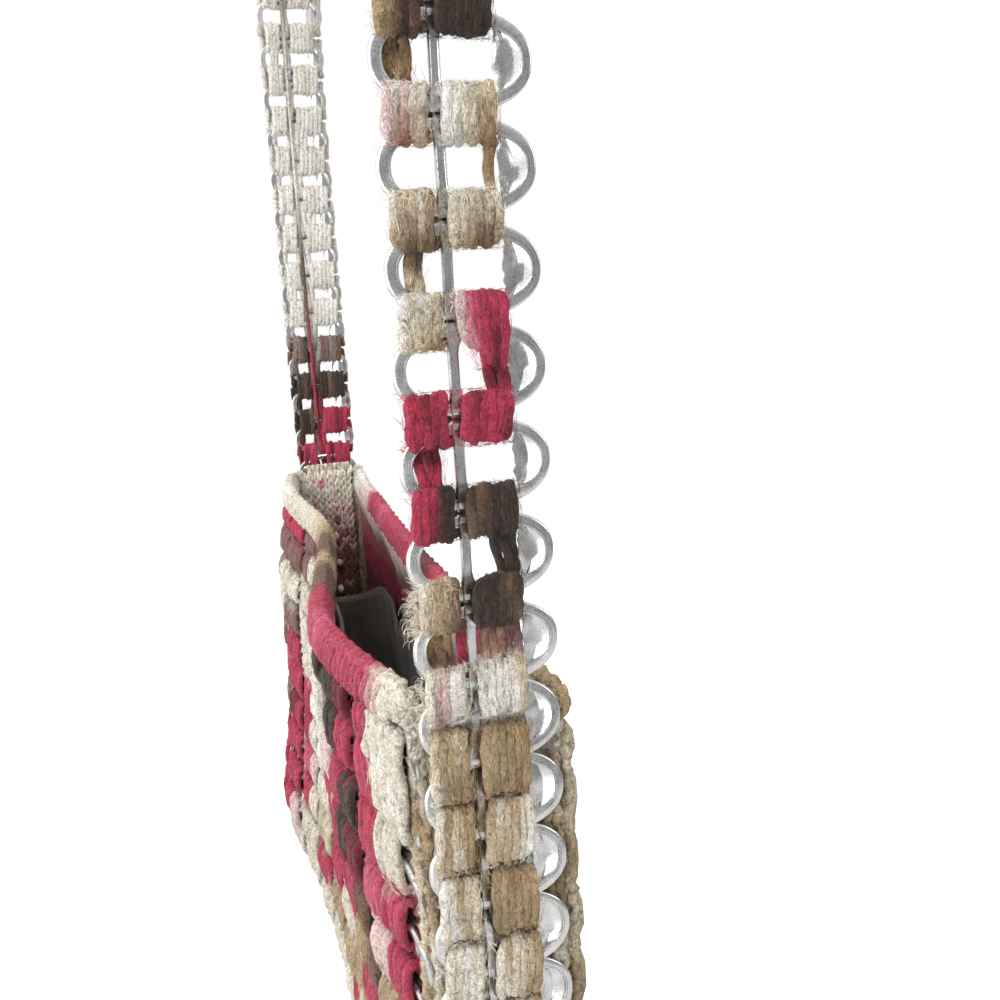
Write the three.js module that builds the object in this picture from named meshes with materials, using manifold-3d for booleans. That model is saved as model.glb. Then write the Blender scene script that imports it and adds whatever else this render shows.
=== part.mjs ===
// Pull-tab crochet bag: drink-can pull tabs crocheted edge to edge with thick variegated wool.
// One strip of tabs runs as the strap, down the near gusset, under the base and up the far gusset.
// A front and a back panel close the sides, a crochet border binds the mouth, and a dark lining hangs inside.
// Millimetres, +Z up, +X towards the near gusset, front panel at -Y. The origin is the middle of the underside.
import * as THREE from "three";
import { mergeVertices } from "three/addons/utils/BufferGeometryUtils.js";
import Module from "manifold-3d";

const wasm = await Module();
wasm.setup();

// ---------------------------------------------------------------- driving sizes
const GAP = 0.3; // between pieces that touch
const HALF_LENGTH = 142.5; // from the middle of the bag to the plane of each gusset's tabs
const RIM_Z = 155; // height of the joint where the strap meets a gusset
const TAB = {
  width: 25.4, // across the strap
  height: 15.2, // along the strap
  thick: 1.2,
  power: 2.25, // of the outline's superellipse
  outlinePoints: 16,
};
// The tab's two holes. side is the hole's edge away from the bar, and round is the radius of that edge.
const HOLES = [
  { name: "finger", side: -10.4, bar: -2.7, halfHeight: 5.5, round: 7.2 },
  { name: "rivet", side: 6.6, bar: -1.0, halfHeight: 5.4, round: 14 },
];
const STRAP = {
  tabs: 44,
  pitch: 15.5, // from joint to joint
  straightTabs: 7, // upright tabs of each leg, before the strap bends over
};
const GUSSET = {
  tabs: 11,
  shownTabs: 6, // the near gusset's upper tabs
  pitch: 13.7, // the tabs overlap by about 1.5 mm
  firstZ: 148.3, // middle of the first tab below the mouth
  tabX: 141.6,
  tiltDeg: 7, // each tab's top edge is tucked behind the tab above
  innerX: 136.7,
  outerX: 139.5,
  halfWidth: 11.0,
  tongueHalfWidth: 9,
};
// Each gusset is full width up to its shoulder, below the border's ends, and a narrower tongue goes on above.
const GUSSET_ENDS = [
  { name: "near", end: 1, shoulderZ: 142.4, joint: 0 },
  { name: "far", end: -1, shoulderZ: 137.2, joint: 44 },
];
const BASE_THICK = 4;
const CORNER = 6; // radius of the strip's turn from gusset to base
const PANEL_END_X = 139.4;
const BORDER = { low: 148.4, high: 156.4, halfThick: 2.9 }; // before the mouth's droop
const LINING = { thick: 1.2, clear: 2.1, endX: 133.6, bottomZ: 7.4 };

// Wool wrapped round the two rims at each joint of the strap: an outer block and the tunnel the rims lie in.
const WRAP = {
  halfLength: 4.4, // along the strap
  halfThick: 2.25,
  tunnelHalfLength: 3.2,
  tunnelHalfThick: 1.12,
};
const WRAP_SIDES = [
  { name: "left", from: -7.7, to: -3.4 },
  { name: "right", from: -0.7, to: 5.1 },
];
const SPINE = { from: -4.0, to: -0.1, near: -1.0, far: -2.0 }; // the strand behind the tabs' bars

// ---------------------------------------------------------------- how the cloth lies
// One row for each upright fold of the bag, from the far gusset to the near one. bow is how far the mouth
// stands out from the straight line between the gussets, belly how far the panel swells below, lift how far
// its lower edge turns up, and drop how far the mouth's edge droops.
const FRONT_FOLDS = [
  { x: -139.4, bow: 2.0, belly: 0, lift: 5, drop: 6.7 },
  { x: -131, bow: 3.4, belly: 5.0, lift: 1.2, drop: 7.0 },
  { x: -112, bow: 4.9, belly: 13.2, lift: 0, drop: 7.4 },
  { x: -95, bow: 4.2, belly: 16.5, lift: 0, drop: 7.8 },
  { x: -75, bow: 2.2, belly: 14.8, lift: 0, drop: 7.9 },
  { x: -52, bow: -0.6, belly: 10.0, lift: 0, drop: 8.0 },
  { x: -31, bow: -1.4, belly: 7.4, lift: 0, drop: 7.8 },
  { x: -2, bow: 1.2, belly: 4.6, lift: 0, drop: 7.6 },
  { x: 25, bow: 4.4, belly: 4.0, lift: 0, drop: 7.1 },
  { x: 50, bow: 7.4, belly: 4.4, lift: 0, drop: 6.2 },
  { x: 75, bow: 9.3, belly: 5.4, lift: 0, drop: 4.8 },
  { x: 99, bow: 7.4, belly: 5.8, lift: 0, drop: 3.2 },
  { x: 120, bow: 4.0, belly: 4.0, lift: 0, drop: 1.6 },
  { x: 132, bow: 1.5, belly: 1.6, lift: 1.2, drop: 0.7 },
  { x: 139.4, bow: 0.6, belly: 0, lift: 5, drop: 0.4 },
];
const BACK_FOLDS = [
  { x: -139.4, bow: 0, belly: 0, lift: 5, drop: 7.8 },
  { x: -131, bow: -0.6, belly: 4.6, lift: 1.2, drop: 8.0 },
  { x: -112, bow: -1.5, belly: 12.4, lift: 0, drop: 8.4 },
  { x: -95, bow: -1.6, belly: 16.3, lift: 0, drop: 8.7 },
  { x: -72, bow: -1.4, belly: 15.0, lift: 0, drop: 8.8 },
  { x: -48, bow: -1.7, belly: 11.6, lift: 0, drop: 8.9 },
  { x: -20, bow: -1.3, belly: 9.4, lift: 0, drop: 9.6 },
  { x: 8, bow: -1.5, belly: 8.6, lift: 0, drop: 9.7 },
  { x: 38, bow: -1.2, belly: 7.4, lift: 0, drop: 8.8 },
  { x: 68, bow: -1.5, belly: 7.8, lift: 0, drop: 7.6 },
  { x: 98, bow: -1.4, belly: 6.2, lift: 0, drop: 5.9 },
  { x: 120, bow: -1.0, belly: 3.2, lift: 0, drop: 5.0 },
  { x: 132, bow: -0.5, belly: 1.2, lift: 1.2, drop: 4.4 },
  { x: 139.4, bow: 0, belly: 0, lift: 5, drop: 4.0 },
];
// One row for each level of a panel, from its lower edge to the border. out and z are its outer skin, in and
// inZ its inner one, before the folds are added. The shares say how much of each column above it takes.
const LEVELS = [
  { z: 0, out: 11.9, inZ: 4, in: 11.9, bellyShare: 0, bowShare: 0, liftShare: 1, dropShare: 0 },
  { z: 0, out: 16.4, inZ: 4.2, in: 13.2, bellyShare: 0.12, bowShare: 0, liftShare: 1, dropShare: 0 },
  { z: 2.6, out: 18.0, inZ: 5.6, in: 14.0, bellyShare: 0.4, bowShare: 0, liftShare: 0.8, dropShare: 0 },
  { z: 12, out: 17.2, inZ: 12.6, in: 13.4, bellyShare: 0.8, bowShare: 0, liftShare: 0.5, dropShare: 0 },
  { z: 26, out: 15.9, inZ: 26, in: 12.3, bellyShare: 1.0, bowShare: 0, liftShare: 0.1, dropShare: 0 },
  { z: 52, out: 15.4, inZ: 52, in: 11.9, bellyShare: 0.76, bowShare: 0.05, liftShare: 0, dropShare: 0 },
  { z: 82, out: 15.4, inZ: 82, in: 11.9, bellyShare: 0.54, bowShare: 0.3, liftShare: 0, dropShare: 0.2 },
  { z: 114, out: 15.4, inZ: 114, in: 11.9, bellyShare: 0.45, bowShare: 0.7, liftShare: 0, dropShare: 0.5 },
  { z: 148, out: 15.4, inZ: 148, in: 11.9, bellyShare: 0, bowShare: 1, liftShare: 0, dropShare: 1 },
];
const PANEL_STATIONS = 17; // along the length
// The lining's top edge, which hangs uneven.
const LINING_TOP = [
  { x: -139, front: 92, back: 90 },
  { x: -100, front: 96, back: 104 },
  { x: -60, front: 108, back: 99 },
  { x: -28, front: 121, back: 116 },
  { x: 10, front: 112, back: 119 },
  { x: 50, front: 116, back: 110 },
  { x: 95, front: 119, back: 117 },
  { x: 139, front: 118, back: 116 },
];

// ---------------------------------------------------------------- colours
const PAINT = {
  metal: new THREE.MeshStandardMaterial({ color: 0x9d9a90, roughness: 0.32, metalness: 1 }),
  strapWool: new THREE.MeshStandardMaterial({ color: 0xa02f45, roughness: 0.95, metalness: 0 }),
  panelWool: new THREE.MeshStandardMaterial({ color: 0xb04a5c, roughness: 0.95, metalness: 0 }),
  gussetWool: new THREE.MeshStandardMaterial({ color: 0xc0ab86, roughness: 0.95, metalness: 0 }),
  borderWool: new THREE.MeshStandardMaterial({ color: 0xa63e4a, roughness: 0.95, metalness: 0 }),
  lining: new THREE.MeshStandardMaterial({ color: 0x28262a, roughness: 0.9, metalness: 0 }),
};

const bag = new THREE.Group();
function piece(name, geometry, paint, parent = bag) {
  const mesh = new THREE.Mesh(geometry, paint);
  mesh.name = name;
  parent.add(mesh);
  return mesh;
}

// ---------------------------------------------------------------- small helpers
// A smooth curve through a table's rows, read at x.
function along(table, x, column) {
  const n = table.length;
  let i = 0;
  while (i < n - 2 && x > table[i + 1].x) i++;
  const slope = (k) => {
    const a = Math.max(k - 1, 0),
      b = Math.min(k + 1, n - 1);
    return (table[b][column] - table[a][column]) / (table[b].x - table[a].x);
  };
  const p = table[i],
    q = table[i + 1],
    w = q.x - p.x;
  const t = Math.min(1, Math.max(0, (x - p.x) / w));
  const t2 = t * t,
    t3 = t2 * t;
  return (
    (2 * t3 - 3 * t2 + 1) * p[column] +
    (t3 - 2 * t2 + t) * w * slope(i) +
    (3 * t2 - 2 * t3) * q[column] +
    (t3 - t2) * w * slope(i + 1)
  );
}

function fromTriangles(points, triangles) {
  const g = new THREE.BufferGeometry();
  g.setAttribute("position", new THREE.Float32BufferAttribute(points.flat(), 3));
  g.setIndex(triangles.flat());
  g.computeVertexNormals();
  return g;
}

// A three.js geometry as a solid that can be joined and cut, and back.
function solid(geometry, matrix) {
  const g = geometry.clone();
  if (matrix) g.applyMatrix4(matrix);
  g.deleteAttribute("normal");
  g.deleteAttribute("uv");
  const m = mergeVertices(g, 1e-4);
  return new wasm.Manifold(
    new wasm.Mesh({
      numProp: 3,
      vertProperties: new Float32Array(m.attributes.position.array),
      triVerts: new Uint32Array(m.index.array),
    }),
  );
}
function geometryOf(manifold) {
  const m = manifold.getMesh();
  const g = new THREE.BufferGeometry();
  g.setAttribute("position", new THREE.Float32BufferAttribute(m.vertProperties, 3));
  g.setIndex([...m.triVerts]);
  g.computeVertexNormals();
  return g;
}

// A closed skin over rings of the same number of points: bottom cap, walls, top cap.
function loft(rings) {
  const m = rings[0].length,
    points = rings.flat(),
    triangles = [];
  for (let i = 0; i + 1 < rings.length; i++)
    for (let j = 0; j < m; j++) {
      const a = i * m + j,
        b = i * m + ((j + 1) % m);
      triangles.push([a, b, b + m], [a, b + m, a + m]);
    }
  for (const [i, flip] of [[0, true], [rings.length - 1, false]]) {
    const flat = rings[i].map((p) => planePoint(rings[i], p));
    for (const t of THREE.ShapeUtils.triangulateShape(flat, [])) {
      const f = t.map((k) => i * m + k);
      triangles.push(flip ? [f[2], f[1], f[0]] : f);
    }
  }
  return facingOut(points, triangles);
}
// A ring's point in the ring's own plane.
function planePoint(ring, p) {
  const c = new THREE.Vector3(),
    n = new THREE.Vector3();
  const v = ring.map((q) => new THREE.Vector3(...q));
  v.forEach((q) => c.addScaledVector(q, 1 / v.length));
  v.forEach((q, i) =>
    n.add(q.clone().sub(c).cross(v[(i + 1) % v.length].clone().sub(c))),
  );
  n.normalize();
  const e = Math.abs(n.z) < 0.9 ? new THREE.Vector3(0, 0, 1) : new THREE.Vector3(1, 0, 0);
  const a = e.clone().cross(n).normalize(),
    b = n.clone().cross(a);
  const d = new THREE.Vector3(...p).sub(c);
  return new THREE.Vector2(d.dot(a), d.dot(b));
}
function facingOut(points, triangles) {
  let volume = 0;
  for (const [a, b, c] of triangles) {
    const [p, q, r] = [points[a], points[b], points[c]];
    volume +=
      p[0] * (q[1] * r[2] - q[2] * r[1]) +
      p[1] * (q[2] * r[0] - q[0] * r[2]) +
      p[2] * (q[0] * r[1] - q[1] * r[0]);
  }
  return fromTriangles(points, volume < 0 ? triangles.map(([a, b, c]) => [c, b, a]) : triangles);
}

// ---------------------------------------------------------------- the pull tab
function tabOutline(grow = 0) {
  const a = TAB.width / 2 + grow,
    b = TAB.height / 2 + grow,
    e = 2 / TAB.power,
    points = [];
  for (let i = 0; i < TAB.outlinePoints; i++) {
    const w = (2 * Math.PI * i) / TAB.outlinePoints,
      c = Math.cos(w),
      s = Math.sin(w);
    points.push(
      new THREE.Vector2(
        a * Math.sign(c) * Math.abs(c) ** e,
        b * Math.sign(s) * Math.abs(s) ** e,
      ),
    );
  }
  return points;
}
// A D with its straight side along the bar and its round side towards the tab's end.
function holeOutline({ side, bar, halfHeight, round }) {
  const out = Math.sign(side - bar),
    points = [];
  const reach = Math.asin(halfHeight / round);
  const cornerAngle = Math.min(reach, Math.PI / 3.1);
  for (const k of [-1, -0.55, 0.55, 1]) {
    const w = k * cornerAngle;
    points.push(new THREE.Vector2(side - out * round * (1 - Math.cos(w)), round * Math.sin(w)));
  }
  points[0].y = -halfHeight * 0.93;
  points[3].y = halfHeight * 0.93;
  const inner = bar + out * 0.9,
    mid = (side + bar) / 2 + out * 0.6;
  points.push(new THREE.Vector2(mid, halfHeight));
  points.push(new THREE.Vector2(inner, halfHeight));
  points.push(new THREE.Vector2(bar, halfHeight - 1));
  points.push(new THREE.Vector2(bar, 1 - halfHeight));
  points.push(new THREE.Vector2(inner, -halfHeight));
  points.push(new THREE.Vector2(mid, -halfHeight));
  return points;
}
function tabGeometry() {
  const shape = new THREE.Shape(tabOutline());
  for (const h of HOLES) shape.holes.push(new THREE.Path(holeOutline(h)));
  const g = new THREE.ExtrudeGeometry(shape, { depth: TAB.thick, bevelEnabled: false });
  g.translate(0, 0, -TAB.thick / 2);
  return g;
}
const TAB_GEOMETRY = tabGeometry();

// ---------------------------------------------------------------- the strap's line
// The strap stands up from the near gusset, bends over and comes down to the far one, all in the plane Y = 0.
// It bends most at its top, and evenness, from 0 to 1, is how near its bend comes to a plain half circle.
function jointsWith(evenness) {
  const straight = STRAP.straightTabs,
    bent = STRAP.tabs - 2 * straight;
  const joints = [[HALF_LENGTH, RIM_Z]];
  for (let k = 0; k < STRAP.tabs; k++) {
    const t = Math.min(1, Math.max(0, (k + 0.5 - straight) / bent));
    const smooth = t * t * (3 - 2 * t);
    const w = Math.PI / 2 + Math.PI * (evenness * t + (1 - evenness) * smooth);
    const [x, z] = joints[k];
    joints.push([x + STRAP.pitch * Math.cos(w), z + STRAP.pitch * Math.sin(w)]);
  }
  return joints;
}
let [low, high] = [0, 1];
for (let i = 0; i < 50; i++) {
  const evenness = (low + high) / 2;
  if (jointsWith(evenness)[STRAP.tabs][0] > -HALF_LENGTH) low = evenness;
  else high = evenness;
}
const JOINTS = jointsWith(low);

// A frame whose X runs across the strap, Y along it and Z out of its outer face.
function frameAt(x, z, direction) {
  const across = new THREE.Vector3(0, 1, 0),
    along_ = new THREE.Vector3(direction[0], 0, direction[1]).normalize(),
    out = across.clone().cross(along_);
  return new THREE.Matrix4().makeBasis(across, along_, out).setPosition(x, 0, z);
}
const minus = (a, b) => [a[0] - b[0], a[1] - b[1]];
const tabFrame = (k) => {
  const [a, b] = [JOINTS[k], JOINTS[k + 1]];
  return frameAt((a[0] + b[0]) / 2, (a[1] + b[1]) / 2, minus(b, a));
};
const jointFrame = (k) => {
  const before = JOINTS[Math.max(k - 1, 0)],
    after = JOINTS[Math.min(k + 1, STRAP.tabs)];
  return frameAt(JOINTS[k][0], JOINTS[k][1], minus(after, before));
};

function placed(mesh, matrix) {
  matrix.decompose(mesh.position, mesh.quaternion, mesh.scale);
  mesh.scale.set(1, 1, 1);
  return mesh;
}

const two = (k) => String(k).padStart(2, "0");
const strap = new THREE.Group();
bag.add(strap);
for (let k = 0; k < STRAP.tabs; k++)
  placed(piece("strap_tab_" + two(k + 1), TAB_GEOMETRY, PAINT.metal, strap), tabFrame(k));

// A box in a joint's frame: across, along and out, each from low to high.
function block([u0, u1], [v0, v1], [w0, w1], matrix) {
  const g = new THREE.BoxGeometry(u1 - u0, v1 - v0, w1 - w0);
  g.translate((u0 + u1) / 2, (v0 + v1) / 2, (w0 + w1) / 2);
  return solid(g, matrix);
}
// The wool that wraps the rims at a joint: a block with a tunnel from side to side.
function wrap(side, matrix, outer, tunnel) {
  return block([side.from, side.to], outer.v, outer.w, matrix).subtract(
    block([side.from - 1, side.to + 1], tunnel.v, tunnel.w, matrix),
  );
}
const plainOuter = {
  v: [-WRAP.halfLength, WRAP.halfLength],
  w: [-WRAP.halfThick, WRAP.halfThick],
};
const plainTunnel = {
  v: [-WRAP.tunnelHalfLength, WRAP.tunnelHalfLength],
  w: [-WRAP.tunnelHalfThick, WRAP.tunnelHalfThick],
};
// The strand that runs from joint to joint behind the bars. It starts and ends inside a joint's wrap, or
// where one part of the strap's wool meets the next, halfway up a tab.
function spine({ first, last, meetsBelow, meetsAbove }) {
  const ring = (matrix, v) =>
    [
      [SPINE.from, SPINE.far],
      [SPINE.to, SPINE.far],
      [SPINE.to, SPINE.near],
      [SPINE.from, SPINE.near],
    ].map(([u, w]) => new THREE.Vector3(u, v, w).applyMatrix4(matrix).toArray());
  const rings = [];
  if (meetsBelow) rings.push(ring(tabFrame(first - 1), GAP / 2));
  for (let k = first; k <= last; k++) {
    const v =
      k === first && !meetsBelow ? 0.4 - WRAP.halfLength : k === last && !meetsAbove ? WRAP.halfLength - 0.4 : 0;
    rings.push(ring(jointFrame(k), v));
  }
  if (meetsAbove) rings.push(ring(tabFrame(last), -GAP / 2));
  return solid(loft(rings));
}
// The wool of the near leg, whose tabs' holes are open, and that of the rest of the strap.
const WOOL_PARTS = [
  { name: "strap_wool_near", first: 1, last: STRAP.straightTabs, meetsBelow: false, meetsAbove: true },
  { name: "strap_wool", first: STRAP.straightTabs + 1, last: STRAP.tabs - 1, meetsBelow: true, meetsAbove: false },
];
for (const part of WOOL_PARTS) {
  let web = spine(part);
  for (let k = part.first; k <= part.last; k++)
    for (const side of WRAP_SIDES)
      web = web.add(wrap(side, jointFrame(k), plainOuter, plainTunnel));
  piece(part.name, geometryOf(web), PAINT.strapWool, strap);
}

// ---------------------------------------------------------------- gussets and base
function gusset({ end, shoulderZ, joint }) {
  const g = GUSSET,
    [x0, x1] = [g.innerX, g.outerX].map((x) => end * x).sort((a, b) => a - b);
  const strip = (halfWidth, low, high) =>
    block([x0, x1], [-halfWidth, halfWidth], [low, high], null);
  let made = strip(g.halfWidth, BASE_THICK + GAP, shoulderZ).add(
    strip(g.tongueHalfWidth, shoulderZ - 1, RIM_Z - 1),
  );
  // The wraps that hold the strap's last tab also take the gusset's first one, which lies further in.
  const m = jointFrame(joint);
  const deeper = { v: plainOuter.v, w: [g.innerX + 2 - HALF_LENGTH, WRAP.halfThick] };
  const hollow = {
    v: plainTunnel.v,
    w: [g.outerX + 0.35 - HALF_LENGTH, WRAP.tunnelHalfThick],
  };
  for (const side of WRAP_SIDES) made = made.add(wrap(side, m, deeper, hollow));
  return made;
}
for (const row of GUSSET_ENDS) piece("gusset_" + row.name, geometryOf(gusset(row)), PAINT.gussetWool);

const nearGusset = new THREE.Group();
bag.add(nearGusset);
const tilt = THREE.MathUtils.degToRad(GUSSET.tiltDeg);
for (let k = 0; k < GUSSET.shownTabs; k++)
  placed(
    piece("gusset_tab_" + two(k + 1), TAB_GEOMETRY, PAINT.metal, nearGusset),
    frameAt(GUSSET.tabX, GUSSET.firstZ - k * GUSSET.pitch, [-Math.sin(tilt), Math.cos(tilt)]),
  );

// The base is the same strip, turned round a corner at each end.
function base() {
  const x = GUSSET.outerX,
    profile = new THREE.Shape();
  profile.moveTo(-x + CORNER, 0);
  profile.lineTo(x - CORNER, 0);
  profile.quadraticCurveTo(x, 0, x, BASE_THICK);
  profile.lineTo(-x, BASE_THICK);
  profile.quadraticCurveTo(-x, 0, -x + CORNER, 0);
  const g = new THREE.ExtrudeGeometry(profile, {
    depth: 2 * GUSSET.halfWidth,
    bevelEnabled: false,
    curveSegments: 5,
  });
  g.rotateX(Math.PI / 2);
  g.translate(0, GUSSET.halfWidth, 0);
  return g;
}
piece("base", base(), PAINT.gussetWool);

// ---------------------------------------------------------------- panels, border, lining
const stations = Array.from(
  { length: PANEL_STATIONS },
  (_, i) => -PANEL_END_X + (2 * PANEL_END_X * i) / (PANEL_STATIONS - 1),
);
// A panel's skin at a station and a level: the outer one, or the inner one.
function panelPoint(folds, sign, x, level, skin) {
  const y =
    level[skin] +
    level.bellyShare * along(folds, x, "belly") +
    level.bowShare * along(folds, x, "bow");
  const lift = level.liftShare * Math.max(0, along(folds, x, "lift")),
    drop = level.dropShare * along(folds, x, "drop");
  return [x, sign * y, (skin === "out" ? level.z : level.inZ) + lift - drop];
}
const panel = (folds, sign) =>
  loft(
    stations.map((x) => [
      ...LEVELS.map((l) => panelPoint(folds, sign, x, l, "out")),
      ...LEVELS.map((l) => panelPoint(folds, sign, x, l, "in")).reverse(),
    ]),
  );
piece("panel_front", panel(FRONT_FOLDS, -1), PAINT.panelWool);
piece("panel_back", panel(BACK_FOLDS, 1), PAINT.panelWool);

const top = LEVELS[LEVELS.length - 1];
function border(folds, sign) {
  const b = BORDER,
    mid = (b.low + b.high) / 2,
    reach = (b.high - b.low) / 2;
  return loft(
    stations.map((x) => {
      const y = sign * ((top.out + top.in) / 2 + along(folds, x, "bow")),
        z = mid - along(folds, x, "drop");
      return Array.from({ length: 8 }, (_, i) => {
        const w = (Math.PI * (i + 0.5)) / 4,
          square = 1 / Math.max(Math.abs(Math.cos(w)), Math.abs(Math.sin(w))) ** 0.6;
        return [x, y + b.halfThick * Math.cos(w) * square * 0.92, z + reach * Math.sin(w) * square * 0.86];
      });
    }),
  );
}
piece("border_front", border(FRONT_FOLDS, -1), PAINT.borderWool);
piece("border_back", border(BACK_FOLDS, 1), PAINT.borderWool);

// The lining is a pouch a little inside the panels: its wall goes up outside and comes down inside.
function liningRing(level, inset) {
  const inner = LINING.clear + inset,
    endX = LINING.endX - inset;
  const ring = [];
  const xs = [-1, -0.97, -0.85, -0.66, -0.42, -0.16, 0.1, 0.36, 0.6, 0.82, 0.96, 1].map((t) => t * endX);
  const side = (folds, sign, column) => (x) => {
    const end = Math.abs(x) / endX;
    const y =
      level.in +
      level.bellyShare * along(folds, x, "belly") +
      level.bowShare * along(folds, x, "bow") -
      inner;
    const rounded = end > 0.99 ? y * 0.55 : y;
    const z = level.share === undefined ? level.z : LINING.bottomZ + level.share * (along(LINING_TOP, x, column) - LINING.bottomZ);
    return [x, sign * rounded, z];
  };
  ring.push(...xs.map(side(FRONT_FOLDS, -1, "front")));
  ring.push(...xs.slice().reverse().map(side(BACK_FOLDS, 1, "back")));
  return ring;
}
function lining() {
  const mix = (share) => {
    const z = LINING.bottomZ + share * (108 - LINING.bottomZ);
    let i = 2;
    while (i < LEVELS.length - 2 && z > LEVELS[i + 1].z) i++;
    const [p, q] = [LEVELS[i], LEVELS[i + 1]],
      t = Math.min(1, Math.max(0, (z - p.z) / (q.z - p.z)));
    const at = (c) => p[c] + t * (q[c] - p[c]);
    return { share, in: at("in"), bellyShare: at("bellyShare"), bowShare: at("bowShare") };
  };
  const shares = [0, 0.16, 0.42, 0.7, 1];
  const wall = shares.map((s) => liningRing(mix(s), 0));
  const back = shares.map((s) => liningRing(mix(s), LINING.thick)).reverse();
  back[back.length - 1] = back[back.length - 1].map(([x, y]) => [x, y, LINING.bottomZ + LINING.thick]);
  return loft([...wall, ...back]);
}
piece("lining", lining(), PAINT.lining);

export default bag;
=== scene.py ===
# Looks of the pull-tab crochet bag: aluminium pull tabs joined with thick variegated wool.
# Lengths are in millimetres until a mesh is made, and then in metres.
import math

import bpy
import numpy as np
from mathutils import Matrix, Vector


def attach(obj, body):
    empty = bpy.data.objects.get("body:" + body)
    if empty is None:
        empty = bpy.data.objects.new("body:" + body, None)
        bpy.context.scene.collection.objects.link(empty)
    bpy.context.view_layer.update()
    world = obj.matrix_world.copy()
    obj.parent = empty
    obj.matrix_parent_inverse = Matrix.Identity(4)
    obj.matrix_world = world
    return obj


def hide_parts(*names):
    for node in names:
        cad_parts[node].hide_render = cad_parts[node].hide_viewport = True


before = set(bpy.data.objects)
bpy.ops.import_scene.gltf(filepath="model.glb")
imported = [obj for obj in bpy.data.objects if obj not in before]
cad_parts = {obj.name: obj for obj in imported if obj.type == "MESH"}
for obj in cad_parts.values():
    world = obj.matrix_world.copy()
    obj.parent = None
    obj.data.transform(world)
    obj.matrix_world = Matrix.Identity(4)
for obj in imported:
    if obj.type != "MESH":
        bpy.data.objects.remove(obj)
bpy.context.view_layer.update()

# ------------------------------------------------------------------ camera
CAM_AT = np.array([299.505, -37.039, 220.987])
CAM_RIGHT = np.array([0.2623, 0.9634, -0.0555])
CAM_FORWARD = np.array([-0.9477, 0.2464, -0.2028])
forward = CAM_FORWARD / np.linalg.norm(CAM_FORWARD)
right = CAM_RIGHT - forward * float(CAM_RIGHT @ forward)
right /= np.linalg.norm(right)
up = np.cross(right, forward)
camera = bpy.data.objects.new("camera", bpy.data.cameras.new("camera"))
bpy.context.scene.collection.objects.link(camera)
m = np.eye(4)
m[:3, 0], m[:3, 1], m[:3, 2], m[:3, 3] = right, up, -forward, CAM_AT / 1000
camera.matrix_world = Matrix(m.tolist())
camera.data.sensor_fit = "HORIZONTAL"
camera.data.sensor_width = 36
camera.data.lens = 36
camera.data.clip_start = 0.005
bpy.context.scene.camera = camera
bpy.context.scene.view_settings.view_transform = "Standard"

# ------------------------------------------------------------------ sizes shared with the frame
HALF_LENGTH = 142.5
RIM_Z = 155.0
TAB_W, TAB_H, TAB_T, TAB_POWER = 25.4, 15.2, 1.2, 2.25
TABS, PITCH, STRAIGHT = 44, 15.5, 7
G_TABS, G_SHOWN, G_PITCH, G_FIRST, G_X, G_TILT = 11, 6, 13.7, 148.3, 141.6, 7.0
PANEL_END = 139.4
BORDER_LOW, BORDER_HIGH, BORDER_THICK = 148.4, 156.4, 2.9

FRONT_FOLDS = {
    "x": [-139.4, -131, -112, -95, -75, -52, -31, -2, 25, 50, 75, 99, 120, 132, 139.4],
    "bow": [2.0, 3.4, 4.9, 4.2, 2.2, -0.6, -1.4, 1.2, 4.4, 7.4, 9.3, 7.4, 4.0, 1.5, 0.6],
    "belly": [0, 5.0, 13.2, 16.5, 14.8, 10.0, 7.4, 4.6, 4.0, 4.4, 5.4, 5.8, 4.0, 1.6, 0],
    "lift": [5, 1.2, 0, 0, 0, 0, 0, 0, 0, 0, 0, 0, 0, 1.2, 5],
    "drop": [6.7, 7.0, 7.4, 7.8, 7.9, 8.0, 7.8, 7.6, 7.1, 6.2, 4.8, 3.2, 1.6, 0.7, 0.4],
}
BACK_FOLDS = {
    "x": [-139.4, -131, -112, -95, -72, -48, -20, 8, 38, 68, 98, 120, 132, 139.4],
    "bow": [0, -0.6, -1.5, -1.6, -1.4, -1.7, -1.3, -1.5, -1.2, -1.5, -1.4, -1.0, -0.5, 0],
    "belly": [0, 4.6, 12.4, 16.3, 15.0, 11.6, 9.4, 8.6, 7.4, 7.8, 6.2, 3.2, 1.2, 0],
    "lift": [5, 1.2, 0, 0, 0, 0, 0, 0, 0, 0, 0, 0, 1.2, 5],
    "drop": [7.8, 8.0, 8.4, 8.7, 8.8, 8.9, 9.6, 9.7, 8.8, 7.6, 5.9, 5.0, 4.4, 4.0],
}
LEVELS = {
    "z": [0, 0, 2.6, 12, 26, 52, 82, 114, 148],
    "out": [11.9, 16.4, 18.0, 17.2, 15.9, 15.4, 15.4, 15.4, 15.4],
    "in_z": [4, 4.2, 5.6, 12.6, 26, 52, 82, 114, 148],
    "in": [11.9, 13.2, 14.0, 13.4, 12.3, 11.9, 11.9, 11.9, 11.9],
    "belly": [0, 0.12, 0.4, 0.8, 1.0, 0.76, 0.54, 0.45, 0],
    "bow": [0, 0, 0, 0, 0, 0.05, 0.3, 0.7, 1],
    "lift": [1, 1, 0.8, 0.5, 0.1, 0, 0, 0, 0],
    "drop": [0, 0, 0, 0, 0, 0, 0.2, 0.5, 1],
}
LINING_TOP = {
    "x": [-139, -100, -60, -28, 10, 50, 95, 139],
    "front": [92, 96, 108, 121, 112, 116, 119, 118],
    "back": [90, 104, 99, 116, 119, 110, 117, 116],
}


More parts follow.
